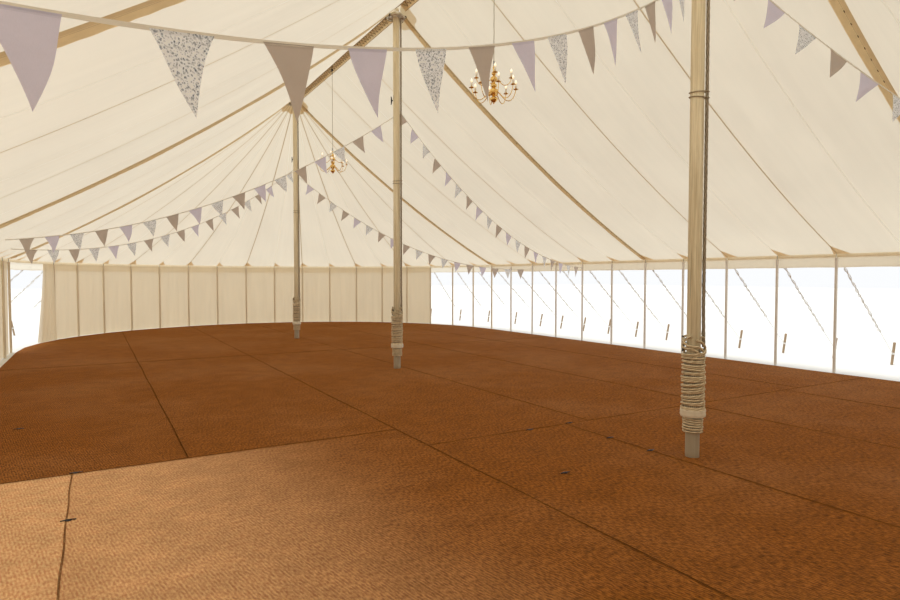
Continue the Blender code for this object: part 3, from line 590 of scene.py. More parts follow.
class Shape:
    """Points and faces gathered into one mesh, with each corner's place in the cut, in metres."""

    def __init__(self):
        self.points = []
        self.faces = []
        self.cuts = []
        self.kinds = []

    def add_points(self, points):
        first = len(self.points)
        self.points.extend(map(tuple, points))
        return first

    def add_face(self, corners, cuts, kind=0):
        self.faces.append(tuple(corners))
        self.cuts.extend(cuts)
        self.kinds.append(kind)

    def grid(self, points, cut, kind=0, closed=False, flip=False):
        """Faces over rows of points. A closed grid joins its last column to its first."""
        rows, columns = points.shape[:2]
        first = self.add_points(points.reshape(-1, 3))
        spans = columns if closed else columns - 1
        for i in range(rows - 1):
            for j in range(spans):
                k = (j + 1) % columns
                corners = [(i, j, j), (i, k, j + 1), (i + 1, k, j + 1), (i + 1, j, j)]
                if flip:
                    corners.reverse()
                self.add_face(
                    [first + a * columns + b for a, b, _ in corners],
                    [tuple(cut[a, c]) for a, _, c in corners],
                    kind,
                )
        return first

    def close_ends(self, first, cut, kind=0, inward=False):
        """Faces over both ends of a closed grid."""
        sides = cut.shape[1] - 1
        last = first + (len(cut) - 1) * sides
        for start, row, back in ((first, cut[0], not inward), (last, cut[-1], inward)):
            ring = range(start, start + sides)
            self.add_face(reversed(ring) if back else ring, row[:sides], kind)

    def tube(self, path, radius, sides, kind=0, lobes=0, pitch=0.1, depth=0.2, capped=True):
        """A round tube along a path, or a laid rope of as many strands as there are lobes."""
        path = np.asarray(path, float)
        radius = np.broadcast_to(np.asarray(radius, float), (len(path),))
        way = np.gradient(path, axis=0)
        way /= np.linalg.norm(way, axis=1)[:, None]
        length = run_along(path)
        side = np.cross(way[0], (0, 0, 1) if abs(way[0][2]) < 0.9 else (1, 0, 0))
        turn = 2 * np.pi * np.arange(sides) / sides
        rings = []
        for k, spot in enumerate(path):
            side = side - way[k] * (side @ way[k])
            side /= np.linalg.norm(side)
            over = np.cross(way[k], side)
            swell = radius[k]
            if lobes:
                phase = turn * lobes - 2 * np.pi * lobes * length[k] / pitch
                swell = radius[k] * (1 - depth + depth * np.abs(np.cos(phase / 2)))
            ring = np.cos(turn)[:, None] * side + np.sin(turn)[:, None] * over
            rings.append(spot + ring * np.reshape(swell, (-1, 1)))
        around = np.arange(sides + 1) / sides * 2 * np.pi * radius.mean()
        cut = joined(around, length[:, None])
        first = self.grid(np.array(rings), cut, kind, closed=True, flip=True)
        if capped:
            self.close_ends(first, cut, kind, inward=True)

    def turned(self, profile, centre, sides, kind=0, capped=True):
        """A turned form about an upright axis, from radii and heights going up."""
        profile = np.asarray(profile, float)
        turn = 2 * np.pi * np.arange(sides) / sides
        x, y, low = (*centre, 0.0)[:3]
        radius, height = profile[:, :1], profile[:, 1:]
        points = joined(radius * np.cos(turn) + x, radius * np.sin(turn) + y, height + low)
        around = np.arange(sides + 1) / sides * 2 * np.pi * radius.max()
        cut = joined(around, run_along(profile)[:, None])
        first = self.grid(points, cut, kind, closed=True)
        if capped:
            self.close_ends(first, cut, kind)

    def ribbon(self, left, right, width=None):
        """A strip of cloth between two lines of points."""
        along = run_along((left + right) / 2)
        wide = width or float(np.linalg.norm(right - left, axis=1).mean())
        self.grid(np.stack([left, right], 1), joined([0.0, wide], along[:, None]))

    def make(self, name, finishes, replaces=(), sharp=None):
        """The piece, riding on the part, with its finishes and the node that it stands for."""
        mesh = bpy.data.meshes.new(name)
        mesh.from_pydata(self.points, [], self.faces)
        layer = mesh.uv_layers.new(name="cut")
        layer.data.foreach_set("uv", np.asarray(self.cuts, np.float32).ravel())
        for finish in finishes:
            mesh.materials.append(finish)
        mesh.polygons.foreach_set("material_index", self.kinds)
        mesh.shade_smooth()
        if sharp:
            mesh.set_sharp_from_angle(angle=math.radians(sharp))
        mesh.update()
        piece = bpy.data.objects.new(name, mesh)
        bpy.context.scene.collection.objects.link(piece)
        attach(piece, "root")
        if replaces:
            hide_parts(*replaces)
        return piece


def cloth(name, points, cut, finish, replaces=(), flip=False):
    """A piece that is one grid of points."""
    shape = Shape()
    shape.grid(points, cut, flip=flip)
    return shape.make(name, [finish], replaces)


# Roof

CROWN_HOLE_RADIUS = 0.075
CROWN_HOLE_SPREAD = 0.6
TAPE_WIDTH = 0.021
SEAM_WIDTH = 0.012
PATCH_REACH = 0.21
PATCH_RISE = 0.24
CROWN_PATCH_INNER = 0.066
CROWN_PATCH_OUTER = 0.34
CROWN_PATCH_SCALLOPS = 8
# The rows of canvas that a crown's round of doubled canvas is sewn to.
CROWN_PATCH_ROWS = {"left_bay_1": 1, "left_bay_2": 2, "far_end_left": 3}


def open_crown_holes(points, inward):
    """Moves the canvas out round each king pole, so that a hole is left for it."""
    flat = points[..., :2]
    for y in KING_POLES.values():
        away = flat - (0.0, y)
        far = np.linalg.norm(away, axis=-1, keepdims=True)
        way = np.where(far > 1e-6, away / np.maximum(far, 1e-6), inward)
        moved = CROWN_HOLE_RADIUS + far * (1 - CROWN_HOLE_RADIUS / CROWN_HOLE_SPREAD)
        flat = np.where(far < CROWN_HOLE_SPREAD, (0.0, y) + way * moved, flat)
    sagged = fall(np.abs(points[..., 0])) - points[..., 2]
    return raised(flat, fall(np.abs(flat[..., 0])) - sagged)


def roof_canvas(row, first, last):
    """One panel of the roof, sagging a little between its tapes."""
    is_bay = "bay" in row
    radii = np.linspace(0.0 if is_bay else CROWN_HOLE_RADIUS, HALF_WIDTH, 49)
    places = np.linspace(first, last, (last - first) * 8 + 1)[:, None]
    points = canvas_at(places, radii)
    if is_bay:
        centre = len(places) // 2
        side = 1 if "right" in row else -1
        for end, half in ((0, points[: centre + 1]), (-1, points[centre:])):
            step = math.copysign(1, points[centre, 0, 1] - points[end, 0, 1])
            half[:] = open_crown_holes(half, (side * 0.7, step * 0.7))
    cut = joined((places - first) * PLACE_WIDTH, slope_length(radii))
    return cloth(f"roof_canvas_{row}", points, cut, ROOF_CANVAS, [f"roof_{row}"])


def sewn_strip(shape, place, radii, width, drop, cut_width=None):
    """A strip under the canvas at one place, out from the ridge or the crown."""
    half = width / 2 / place_step(place, radii)
    left, right = (canvas_at(place + side * half, radii, drop) for side in (-1, 1))
    shape.ribbon(left, right, cut_width)


def flat_seams(row, first, last):
    """The flat seams of the canvas, midway between the tapes."""
    shape = Shape()
    for place in range(first + 1, last, 2):
        sewn_strip(shape, place, np.linspace(0.25, HALF_WIDTH - 0.02, 40), SEAM_WIDTH, 0.0012)
    return shape.make(f"flat_seams_{row}", [SEAM_CANVAS])


def seam_tapes(row, first, last):
    """The tan tapes sewn under the canvas from the ridge or crown to every second side pole."""
    shape = Shape()
    in_end = "end" in row
    radii = np.linspace(0.20 if in_end else 0.02, HALF_WIDTH - 0.01, 60)
    width = np.minimum(TAPE_WIDTH, radii * 0.10) if in_end else TAPE_WIDTH
    for place in range(first, last, 2):
        if place not in KING_POLE_PLACES:
            sewn_strip(shape, place, radii, width, 0.004, TAPE_WIDTH)
    return shape.make(f"seam_tapes_{row}", [END_TAPE if in_end else TAPE])


def eave_patches(row, first, last):
    """The corners of doubled webbing that spread each side pole's pull into the canvas."""
    shape = Shape()
    share = np.linspace(0, 1, 6)[:, None]
    out = HALF_WIDTH - 0.003 - PATCH_RISE * (1 - share)
    for place in range(first, last + 1):
        for side in (-1, 1):
            if not first <= place + side <= last:
                continue
            widest = PATCH_REACH if side < 0 else PATCH_REACH * (0.30 if place % 2 == 0 else 0.05)
            reach = share * np.linspace(0, 1, 5) * widest * side / PLACE_WIDTH
            cut = joined(np.abs(reach) * PLACE_WIDTH, share * PATCH_RISE)
            shape.grid(canvas_at(place + reach, out, 0.0028), cut)
    return shape.make(f"eave_patches_{row}", [PATCH])


def crown_patch(number, y):
    """The round of doubled canvas under the roof at a crown, with a scalloped edge."""
    turn = np.linspace(0, 2 * np.pi, 73)
    reach = np.linspace(CROWN_PATCH_INNER, CROWN_PATCH_OUTER, 12)[:, None]
    scallop = 1 + 0.07 * np.cos(CROWN_PATCH_SCALLOPS * turn) * np.linspace(0, 1, 12)[:, None]
    x = reach * np.cos(turn) * scallop
    along = reach * np.sin(turn) * scallop
    in_end = along * (number - 2) > 0
    from_ridge = np.where(in_end, np.hypot(x, along), np.abs(x))
    points = joined(x, along + y, fall(from_ridge) - 0.0045)
    # The far crown's patch takes a darker copy of the patch cloth, as painted shade.
    finish = FAR_CROWN_CANVAS if number == 3 else CROWN_CANVAS
    return cloth(f"crown_patch_{number}", points, joined(reach * turn, reach), finish)


def valance(row, first, last):
    """The strip of canvas that hangs from the eave, with folds that fan from the pole heads."""
    places = np.linspace(first, last, (last - first) * 28 + 1)[:, None]
    depth = np.array([0.0, 0.02, 0.045, 0.07, 0.095, 0.12, 0.145, 0.17, 0.20, 0.228])
    pole = np.round(places)
    away = (places - pole) * PLACE_WIDTH
    fan = np.sin(9.0 * away / (depth + 0.09) + pole * 1.7)
    fold = 0.007 * fan * np.exp(-np.abs(away) / 0.30)
    swing = 0.005 * np.sin(places * 5.3 + np.sin(places * 2.1) * 1.4)
    loose = np.clip((depth - 0.03) / 0.15, 0, 1)
    outset = 0.0012 + (fold + swing + 0.010) * loose
    scallop = 1 - 0.03 * np.sin(np.pi * np.abs(places - pole)) * (depth > 0.1)
    points = raised(plan(places, outset), EAVE_HEIGHT - depth * scallop)
    cut = joined((places - first) * PLACE_WIDTH, depth)
    finish = VALANCE_CANVAS if "right_bay" in row else WALLED_VALANCE_CANVAS
    return cloth(f"valance_{row}", points, cut, finish)


def roof():
    """The roof panels, each with what is sewn to it."""
    patches = {row: crown_patch(number, KING_POLES[number]) for row, number in CROWN_PATCH_ROWS.items()}
    for row, first, last in ROWS:
        sewn = [sew(row, first, last) for sew in (flat_seams, seam_tapes, eave_patches, valance)]
        if row in patches:
            sewn.append(patches[row])
        panel = roof_canvas(row, first, last)


# Webbing

STRAP_WIDTH = 0.130
STRAP_NEAR_DROP = 0.012
# Shares of that width at the crown and at the eave.
STRAP_WIDTHS = {
    (1, "right"): (0.88, 0.74),
    (2, "right"): (0.95, 0.60),
    (3, "right"): (0.95, 0.62),
    (1, "left"): (0.84, 0.80),
    (2, "left"): (1.25, 1.15),
    (3, "left"): (1.2, 1.1),
}
STRAP_FAR_DROPS = {(1, "right"): 0.055}
OTHER_FAR_DROP = 0.034
CROWN_RADIUS = 0.165
RIDGE_WIDTH = 0.263
RIDGE_SEAMS = np.array([-0.10, -0.066, -0.033, 0.0, 0.033, 0.066, 0.10])
LACING_PITCH = 0.055
STRAP_END_INSET = 0.06
LOOP_PITCH = 0.139


def ridge_webbing(number, start, end):
    """The webbing under the ridge, with its edge ropes and the lacing that closes the two slopes."""
    low, high = start + CROWN_RADIUS + 0.001, end - CROWN_RADIUS - 0.001
    y = np.linspace(low, high, 97)
    drop = 0.005 + 0.0015 * np.sin(y * 9.0)
    points = joined(RIDGE_SEAMS, y[:, None], fall(np.abs(RIDGE_SEAMS)) - drop[:, None])
    cut = joined(RIDGE_SEAMS * math.hypot(1, 0.856) + 0.132, y[:, None] - low)
    name = f"ridge_webbing_{number}"
    band = cloth(name, points, cut, RIDGE_WEBBING, [f"ridge_band_{number}"])
    laced = Shape()
    for x, radius in ((-0.094, 0.0045), (-0.040, 0.004), (0.094, 0.004)):
        wave = 0.0015 * np.sin(y * 23.0 + x * 50)
        laced.tube(joined(x + wave, y, fall(abs(x)) - 0.009 + wave), radius, 6)
    steps = np.arange(low + 0.05, high - 0.05, LACING_PITCH)
    side = np.where(np.arange(len(steps)) % 2, 0.070, -0.022)
    laced.tube(joined(side, steps, fall(np.abs(side)) - 0.011), 0.0055, 6)
    cords = laced.make(f"ridge_lacing_{number}", [LACING])


def laced_strap(number, side):
    """The laced webbing from a crown down to the eave, laced along one edge and slack along the other."""
    y = KING_POLES[number]
    sign = 1 if side == "right" else -1
    radii = np.linspace(CROWN_RADIUS + 0.001, HALF_WIDTH - STRAP_END_INSET, 90)
    share = np.linspace(0, 1, 9)
    width = STRAP_WIDTH * np.interp(radii, [radii[0], radii[-1]], STRAP_WIDTHS[number, side])
    aside = (0.5 - share) * width[:, None]
    under_end = aside * (number - 2) > 0
    from_ridge = np.where(under_end, np.hypot(radii[:, None], aside), radii[:, None])
    slack = np.clip((radii - radii[0]) / 0.45, 0, 1) * np.clip((radii[-1] - radii) / 0.10 + 0.6, 0, 1)
    slack = slack * (1 + 0.10 * np.sin(radii * 3.1 + number) + 0.05 * np.sin(radii * 7.3 + sign))
    far = STRAP_FAR_DROPS.get((number, side), OTHER_FAR_DROP) * slack[:, None] * (1 - share) ** 1.15
    near = STRAP_NEAR_DROP * (0.4 + 0.6 * np.clip((radii - radii[0]) / 0.3, 0, 1))[:, None]
    ruffle = 0.0022 * np.sin(radii[:, None] * 44.0) * (1 - share) ** 2
    points = joined(sign * radii[:, None], y + aside, fall(from_ridge) - near - far + ruffle)
    length = slope_length(radii)
    cut = joined(share * STRAP_WIDTH, length[:, None])
    name = f"laced_strap_{number}_{side}"
    finish = PALE_STRAP if side == "left" else STRAP if number == 1 else BROWN_STRAP
    strap = cloth(f"{name}_webbing", points, cut, finish, [name], flip=sign < 0)
    [strap_loops(name, number, radii, points)] if side == "right" else []


def strap_loops(name, number, radii, points):
    """The row of lacing loops along the middle of a strap, coloured near black as painted shade of the holes
    they pass through.
    """
    loops = Shape()
    middle = points[:, 5]
    reach, thickness = (0.010, 0.0046) if number == 1 else (0.008, 0.0028)
    turn = np.linspace(0, np.pi, 7)
    for radius in np.arange(0.30, HALF_WIDTH - 0.12, LOOP_PITCH):
        out = radius + reach * np.cos(turn)
        level = np.interp(out, radii, middle[:, 2]) - 0.0015 - 0.005 * np.sin(turn)
        loops.tube(joined(out, np.interp(out, radii, middle[:, 1]), level), thickness, 6)
    return loops.make(f"{name}_loops", [DARK_LACING])


# Poles

SIDE_POLE_RADIUS = 0.025
SIDE_POLE_INSET = 0.0293
KING_POLE_RADIUS = 0.061
KING_POLE_TAPER = 0.0045
CROWN_RING_REACH = 0.150
CROWN_RING_ROD = 0.0145
CROWN_HOOKS = (150, 205, 25, 318)


def side_poles(row, first, last):
    """A row of slim timber poles, with steel pins at their heads."""
    shape = Shape()
    draw = np.random.default_rng(first + 5)
    heights = [0.0, 0.004, 0.30, 0.62, 0.95, 1.28, 1.60, 1.84, 1.895, 1.90]
    sizes = np.array([0.92, 0.99, 1, 1, 1, 1, 1, 0.99, 0.97, 0.90]) * SIDE_POLE_RADIUS * 0.97
    collar = [(0.0252, 1.872), (0.0262, 1.876), (0.0262, 1.894), (0.0252, 1.898)]
    pin = [(0.008, 1.90), (0.008, 1.962), (0.005, 1.968)]
    for place in range(first, last):
        if DOORWAY[0] < place < DOORWAY[1]:
            continue
        spot = plan(place, -SIDE_POLE_INSET)
        swell = 1 + draw.normal(0, 0.02, len(heights))
        shape.turned(list(zip(sizes * swell, heights)), spot, 14)
        shape.turned(collar, spot, 14)
        shape.turned(pin, spot, 8, kind=1)
    timber = SIDE_TIMBER if "right_bay" in row else SHADED_TIMBER
    shape.make(f"side_poles_timber_{row}", [timber, STEEL], [f"side_poles_{row}"], sharp=40)


def eave_band(row, first, last):
    """The band of doubled canvas along the inside of the eave, held by the pins of the poles."""
    places = np.linspace(first, last, (last - first) * 16 + 1)[:, None]
    depth = np.linspace(0.0005, 0.0600, 5)
    ripple = 0.0018 * np.sin(places * 21.0) * np.abs(np.sin(np.pi * places))
    points = raised(plan(places, -0.0042 + ripple * (depth / 0.06)), EAVE_HEIGHT - depth)
    cut = joined((places - first) * PLACE_WIDTH, depth)
    band = cloth(f"eave_band_{row}", points, cut, BAND)


def king_pole(number, y):
    """A weathered timber king pole, a little slimmer towards its head."""
    shape = Shape()
    sides = 48
    heights = np.concatenate([[0.0, 0.006], np.linspace(0.06, 6.25, 90), [6.262, 6.275, 6.28]])[:, None]
    draw = np.random.default_rng(number)
    turn = 2 * np.pi * np.arange(sides) / sides
    waves = sum(
        draw.uniform(0.2, 0.5)
        * np.sin(turn * k + draw.uniform(0, 6.3) + 0.25 * np.sin(heights * draw.uniform(0.4, 1.1)))
        for k in (2, 3, 5, 7)
    )
    groove = -np.clip(np.cos(turn * 9 + 0.5 * np.sin(heights * 0.9 + number)) - 0.93, 0, 1) * 18
    taper = KING_POLE_TAPER * np.clip(heights / 5.5, 0, 1)
    radius = KING_POLE_RADIUS - 0.0012 - taper + (waves + groove) * 0.0008
    radius[0] -= 0.003
    radius[-3:] -= np.array([0.002, 0.007, 0.012])[:, None]
    around = np.arange(sides + 1) / sides * 2 * np.pi * KING_POLE_RADIUS
    cut = joined(around, heights)
    first = shape.grid(round_pole(y, turn, heights, radius), cut, closed=True)
    shape.close_ends(first, cut)
    shape.make(f"king_pole_timber_{number}", [KING_TIMBER], [f"king_pole_{number}"], sharp=50)


def king_pole_steel(number, y):
    """The steel on a king pole: the spike at its head and a ferrule."""
    shape = Shape()
    spike = [(0.030, 6.276), (0.030, 6.284), (0.018, 6.288), (0.018, 6.355), (0.013, 6.366), (0.006, 6.370)]
    shape.turned(spike, (0, y), 20)
    ferrule = [(0.0004, 6.165), (0.0022, 6.167), (0.0022, 6.233), (0.0004, 6.235)]
    shape.turned([(KING_POLE_RADIUS + proud, level) for proud, level in ferrule], (0, y), 48, capped=False)
    shape.make(f"king_pole_ferrules_{number}", [STEEL], sharp=40)


def crown(number, y):
    """The steel crown: a dished plate under the canvas, a ring at its rim, and hooks for the ropes."""
    shape = Shape()
    inner = KING_POLE_RADIUS + 0.0006
    rim = fall(CROWN_RADIUS)
    plate = [
        (inner, fall(inner) - 0.018),
        (inner, fall(inner) - 0.007),
        (CROWN_RADIUS - 0.012, rim - 0.004),
        (CROWN_RADIUS - 0.008, rim - 0.010),
        (CROWN_RADIUS - 0.040, rim - 0.004),
        (inner + 0.016, rim + 0.012),
        (inner + 0.010, rim - 0.020),
        (inner + 0.003, rim - 0.030),
        (inner, rim - 0.031),
    ]
    shape.turned(plate, (0, y), 48, capped=False)
    ring_height = rim - 0.017
    ring = round_pole(y, np.linspace(0, 2 * np.pi, 49), ring_height, CROWN_RING_REACH)
    shape.tube(ring, CROWN_RING_ROD, 12, capped=False)
    for k in range(4):
        way = heading(math.pi / 4 + k * math.pi / 2)
        arm = ((0.068, rim - 0.016), (0.10, ring_height), (0.140, ring_height))
        shape.tube([way * reach + (0, y, level) for reach, level in arm], 0.009, 8)
    shape.make(f"crown_{number}", [BRIGHT_STEEL], [f"king_pole_crown_{number}"], sharp=40)
    hooks = Shape()
    for angle in CROWN_HOOKS:
        way = heading(math.radians(angle))
        bend = np.linspace(-0.4 * np.pi, 1.1 * np.pi, 12)[:, None]
        base = way * 0.160 + (0, y, ring_height - 0.006)
        hooks.tube(base + way * 0.018 * np.cos(bend) + np.array([0, 0, 0.020]) * np.sin(bend), 0.0065, 8)
    hooks.make(f"crown_hooks_{number}", [DARK_STEEL])


# Ropes on the king poles

WINDING_BOTTOM = 0.21
WINDING_TOP = 1.07
HAULING_TURN = math.radians(-38.0)
HAULING_ROPE_RADIUS = 0.0158
SPARE_ROPE_RADIUS = 0.0098
WINDING_TURNS = 25
LOOSE_TURNS = 6
TIE_HEIGHT = 3.13
TIE_ROPE_RADIUS = 0.0046
# Slanting turns over the winding: where each starts, its lowest and highest levels, and its way round.
CROSSINGS = [
    (0.2, 0.88, 1.062, 1), (1.2, 0.90, 1.03, -1), (2.1, 0.92, 1.056, -1),
    (3.6, 0.86, 1.05, 1), (4.4, 0.92, 1.045, -1), (5.0, 0.94, 1.06, -1),
]


def round_pole(y, turns, heights, reach):
    """Points round a king pole."""
    return joined(reach * np.cos(turns), y + reach * np.sin(turns), heights)


def hauling_rope(number, y):
    """The hauling rope down a king pole, and the rest of it wound round the foot in uneven turns."""
    shape = Shape()
    heights = np.linspace(WINDING_TOP - 0.10, fall(KING_POLE_RADIUS) - 0.125, 200)
    reach = 0.0785 + 0.006 * np.clip((1.3 - heights) / 0.3, 0, 1) + 0.0008 * np.sin(heights * 2.3 + number)
    turns = HAULING_TURN + 0.05 * np.sin(heights * 1.1 + number)
    hauled = round_pole(y, turns, heights, reach)
    # The hauling line takes the darker rope, as painted shade.
    shape.tube(hauled, HAULING_ROPE_RADIUS, 12, kind=1, lobes=STRANDS, pitch=0.20, depth=0.26)
    rope = SPARE_ROPE_RADIUS
    inner = KING_POLE_RADIUS + 0.018
    slim = KING_POLE_RADIUS + 0.006
    under = [(slim, WINDING_BOTTOM + 0.02), (slim, 0.36), (inner, 0.41), (inner, WINDING_TOP - 0.15)]
    # The core under the winding takes the darker rope, as painted shade in the gaps.
    shape.turned(under, (0, y), 32, kind=1)
    coil = np.linspace(0, WINDING_TURNS * 2 * np.pi, WINDING_TURNS * 24)
    climb = np.linspace(0.42, WINDING_TOP - 0.14, len(coil))
    climb += 0.009 * np.sin(coil / 2 + 1) * np.sin(coil * 0.11)
    climb += 0.008 * np.sin(coil + 0.4) * np.sin(coil * 0.05 + 2)
    swell = 0.0035 * np.sin(coil * 0.37) + 0.005 * np.clip(np.sin(coil * 0.083 + number), 0, 1)
    shape.tube(round_pole(y, coil + number, climb, inner + rope + swell), rope, 8)
    loose = np.linspace(0, LOOSE_TURNS * 2 * np.pi, 140)
    lowest = np.linspace(0.36, WINDING_BOTTOM + 0.014, len(loose)) + 0.004 * np.sin(loose * 0.9)
    reach = slim + rope + 0.002 + 0.002 * np.sin(loose * 0.31)
    shape.tube(round_pole(y, loose, lowest, reach), rope * 0.92, 8)
    slant = np.linspace(0, 1, 30)
    for start, low, high, way in CROSSINGS:
        heights = low + (high - low) * slant + 0.012 * np.sin(slant * 9)
        reach = KING_POLE_RADIUS + rope + 0.006 + 0.026 * np.sin(np.pi * slant) * (1 - 0.5 * slant)
        shape.tube(round_pole(y, start + way * slant * 3.4, heights, reach), rope, 8)
    shape.make(f"hauling_rope_laid_{number}", [ROPE, SHADED_ROPE], [f"hauling_rope_{number}"])


def hessian_cuff(number, y):
    """The cuff of sacking tied round the lower end of the winding."""
    turn = np.linspace(0, 2 * np.pi, 49)
    levels = np.linspace(0.362, 0.438, 7)[:, None]
    bulge = np.array([0.026, 0.032, 0.034, 0.031, 0.034, 0.033, 0.027])[:, None]
    ripple = 0.0015 * np.sin(turn * 11) + 0.001 * np.sin(turn * 7 + levels * 90)
    points = round_pole(y, turn, levels, KING_POLE_RADIUS + 0.012 + bulge + ripple)
    cloth(f"hessian_cuff_{number}", points, joined(turn * KING_POLE_RADIUS, levels), HESSIAN, flip=True)


def tie_ring(number, y):
    """Two turns of thin rope that tie the hauling rope to its pole above head height."""
    shape = Shape()
    turns = np.linspace(0, 2 * np.pi, 41)
    reach = KING_POLE_RADIUS + 0.0050 + 0.034 * np.exp(-((turns - 2 * np.pi - HAULING_TURN) / 0.34) ** 2)
    for k in range(2):
        level = TIE_HEIGHT + 0.06 * (number - 1) + k * 0.045
        ring = round_pole(y, turns, level + 0.009 * np.sin(turns + k), reach)
        shape.tube(ring, TIE_ROPE_RADIUS, 8, capped=False)
    shape.make(f"tie_ring_{number}", [TIE_ROPE])


def cleats(number, y):
    """The black cleats that the ropes of a king pole are made fast to."""
    shape = Shape()
    horn = np.linspace(-1, 1, 15)
    for angle, level in ((HAULING_TURN + 0.75, 1.09), (HAULING_TURN + 2.9, 1.00), (2.6, 4.60)):
        way = heading(angle)
        base = way * (KING_POLE_RADIUS - 0.001) + (0, y, level)
        shape.tube([base, base + way * 0.02], [0.012, 0.010], 10)
        line = [base + way * (0.024 + 0.008 * abs(h) ** 3) + (0, 0, 0.070 * h) for h in horn]
        shape.tube(line, 0.0115 - 0.0055 * horn**2, 10)
    shape.make(f"cleats_{number}", [BLACK_IRON])


# Guy ropes

EAVE_ROPE_OUTSET = 0.0119
EAVE_ROPE_HEIGHT = 1.93
GUY_REACH = 1.90
GUY_FOOT_HEIGHT = 0.20
STAKE_LEAN = 0.09
STAKE_HEIGHT = 0.40
GUY_SAG = 0.012
GUY_ROPE_RADIUS = 0.0065
TWISTED_ROPE_RADIUS = 0.0068
EAVE_ROPE_RADIUS = 0.0085
STAKE_TURNS = 3


def guy_ropes(row, first, last):
    """A row of guy ropes, each with its spare length twisted back up it, and the eave rope."""
    shape = Shape()
    for place in range(first, last):
        head = raised(plan(place, EAVE_ROPE_OUTSET), EAVE_ROPE_HEIGHT)
        foot = raised(plan(place, GUY_REACH - 0.02), GUY_FOOT_HEIGHT)

        def down(share):
            return head * (1 - share) + foot * share + np.array([0, 0, -GUY_SAG]) * np.sin(np.pi * share)

        shape.tube(down(np.linspace(0, 1, 30)[:, None]), GUY_ROPE_RADIUS, 6)
        way = (foot - head) / np.linalg.norm(foot - head)
        side = np.cross(way, (0, 0, 1))
        side /= np.linalg.norm(side)
        over = np.cross(way, side)
        spare = np.linspace(0.05 + 0.03 * (place % 3), 0.66 + 0.05 * (place % 4), 110)[:, None]
        for strand in range(2):
            angle = spare * 52.0 + place + strand * 2.6 + 0.5 * np.sin(spare * 17.0)
            bundle = 0.0150 + 0.0055 * np.sin(spare * 33.0 + strand * 2 + place)
            twist = bundle * (np.cos(angle) * side + np.sin(angle) * over)
            shape.tube(down(spare) + twist, TWISTED_ROPE_RADIUS, 6)
    places = np.linspace(first, last - 0.006, (last - first) * 14 + 1)
    shape.tube(raised(plan(places, EAVE_ROPE_OUTSET), EAVE_ROPE_HEIGHT), EAVE_ROPE_RADIUS, 8)
    shape.make(f"guy_ropes_laid_{row}", [GUY_ROPE], [f"guy_ropes_{row}"])


def stakes(row, first, last):
    """The leaning stakes of a row of guy ropes, with three turns of rope round each."""
    shape = Shape()
    draw = np.random.default_rng(first + 77)
    lean = STAKE_LEAN / STAKE_HEIGHT
    levels = np.array([0.0, 0.05, 0.15, 0.25, 0.34, 0.372, 0.392, 0.40])
    size = np.array([0.021, 0.022, 0.023, 0.023, 0.0235, 0.0245, 0.023, 0.016])
    turn = np.linspace(0, 2 * np.pi, 17)
    for place in range(first, last):
        way = np.append(plan(place, 1.0) - plan(place, 0.0), 0)
        base = raised(plan(place, GUY_REACH), 0.0) - way * STAKE_LEAN * GUY_FOOT_HEIGHT / STAKE_HEIGHT
        path = base + way * (levels * lean)[:, None] + np.array([0, 0, 1]) * levels[:, None]
        shape.tube(path, size * (1 + draw.normal(0, 0.02, len(size))), 12)
        for k in range(STAKE_TURNS):
            level = GUY_FOOT_HEIGHT - 0.012 + k * 0.011
            x, y, _ = base + way * level * lean
            loop = joined(x + 0.028 * np.cos(turn), y + 0.028 * np.sin(turn), level + 0.003 * np.sin(turn))
            shape.tube(loop, 0.0055, 6, kind=1, capped=False)
    shape.make(f"stakes_{row}", [STAKE_TIMBER, GUY_ROPE], sharp=50)


# Walls

WALL_HEIGHT = 1.91
CURTAIN_FOLDS = 5.5


def wall(name, first, last):
    """A length of wall canvas, hung from the eave band in soft upright folds."""
    places = np.linspace(first, last, (last - first) * 32 + 1)[:, None]
    along = places * PLACE_WIDTH
    depth = np.linspace(0, 1, 25)
    soft = 0.0008 + 0.021 * depth**0.8
    wave = (
        0.55 * np.sin(along * 7.1 + np.sin(along * 1.3) * 2.0)
        + 0.30 * np.sin(along * 12.7 + 1.3 + np.sin(along * 2.1))
        + 0.15 * np.sin(along * 23.0 + np.sin(along * 3.0) * 2.0)
    )
    drift = 0.30 * np.sin(along * 5.0 + depth * 3.5)
    near_pole = np.exp(-(((places - np.round(places)) * PLACE_WIDTH / 0.09) ** 2))
    outset = -0.0014 + (wave + drift) * soft * (1 - 0.85 * near_pole) + 0.010 * near_pole * depth
    points = raised(plan(places, outset), WALL_HEIGHT * (1 - depth) + 0.001)
    cut = joined(along - along[0], WALL_HEIGHT * depth)
    made = cloth(f"wall_canvas_{name}", points, cut, WALL_CANVAS, [f"wall_{name}"])


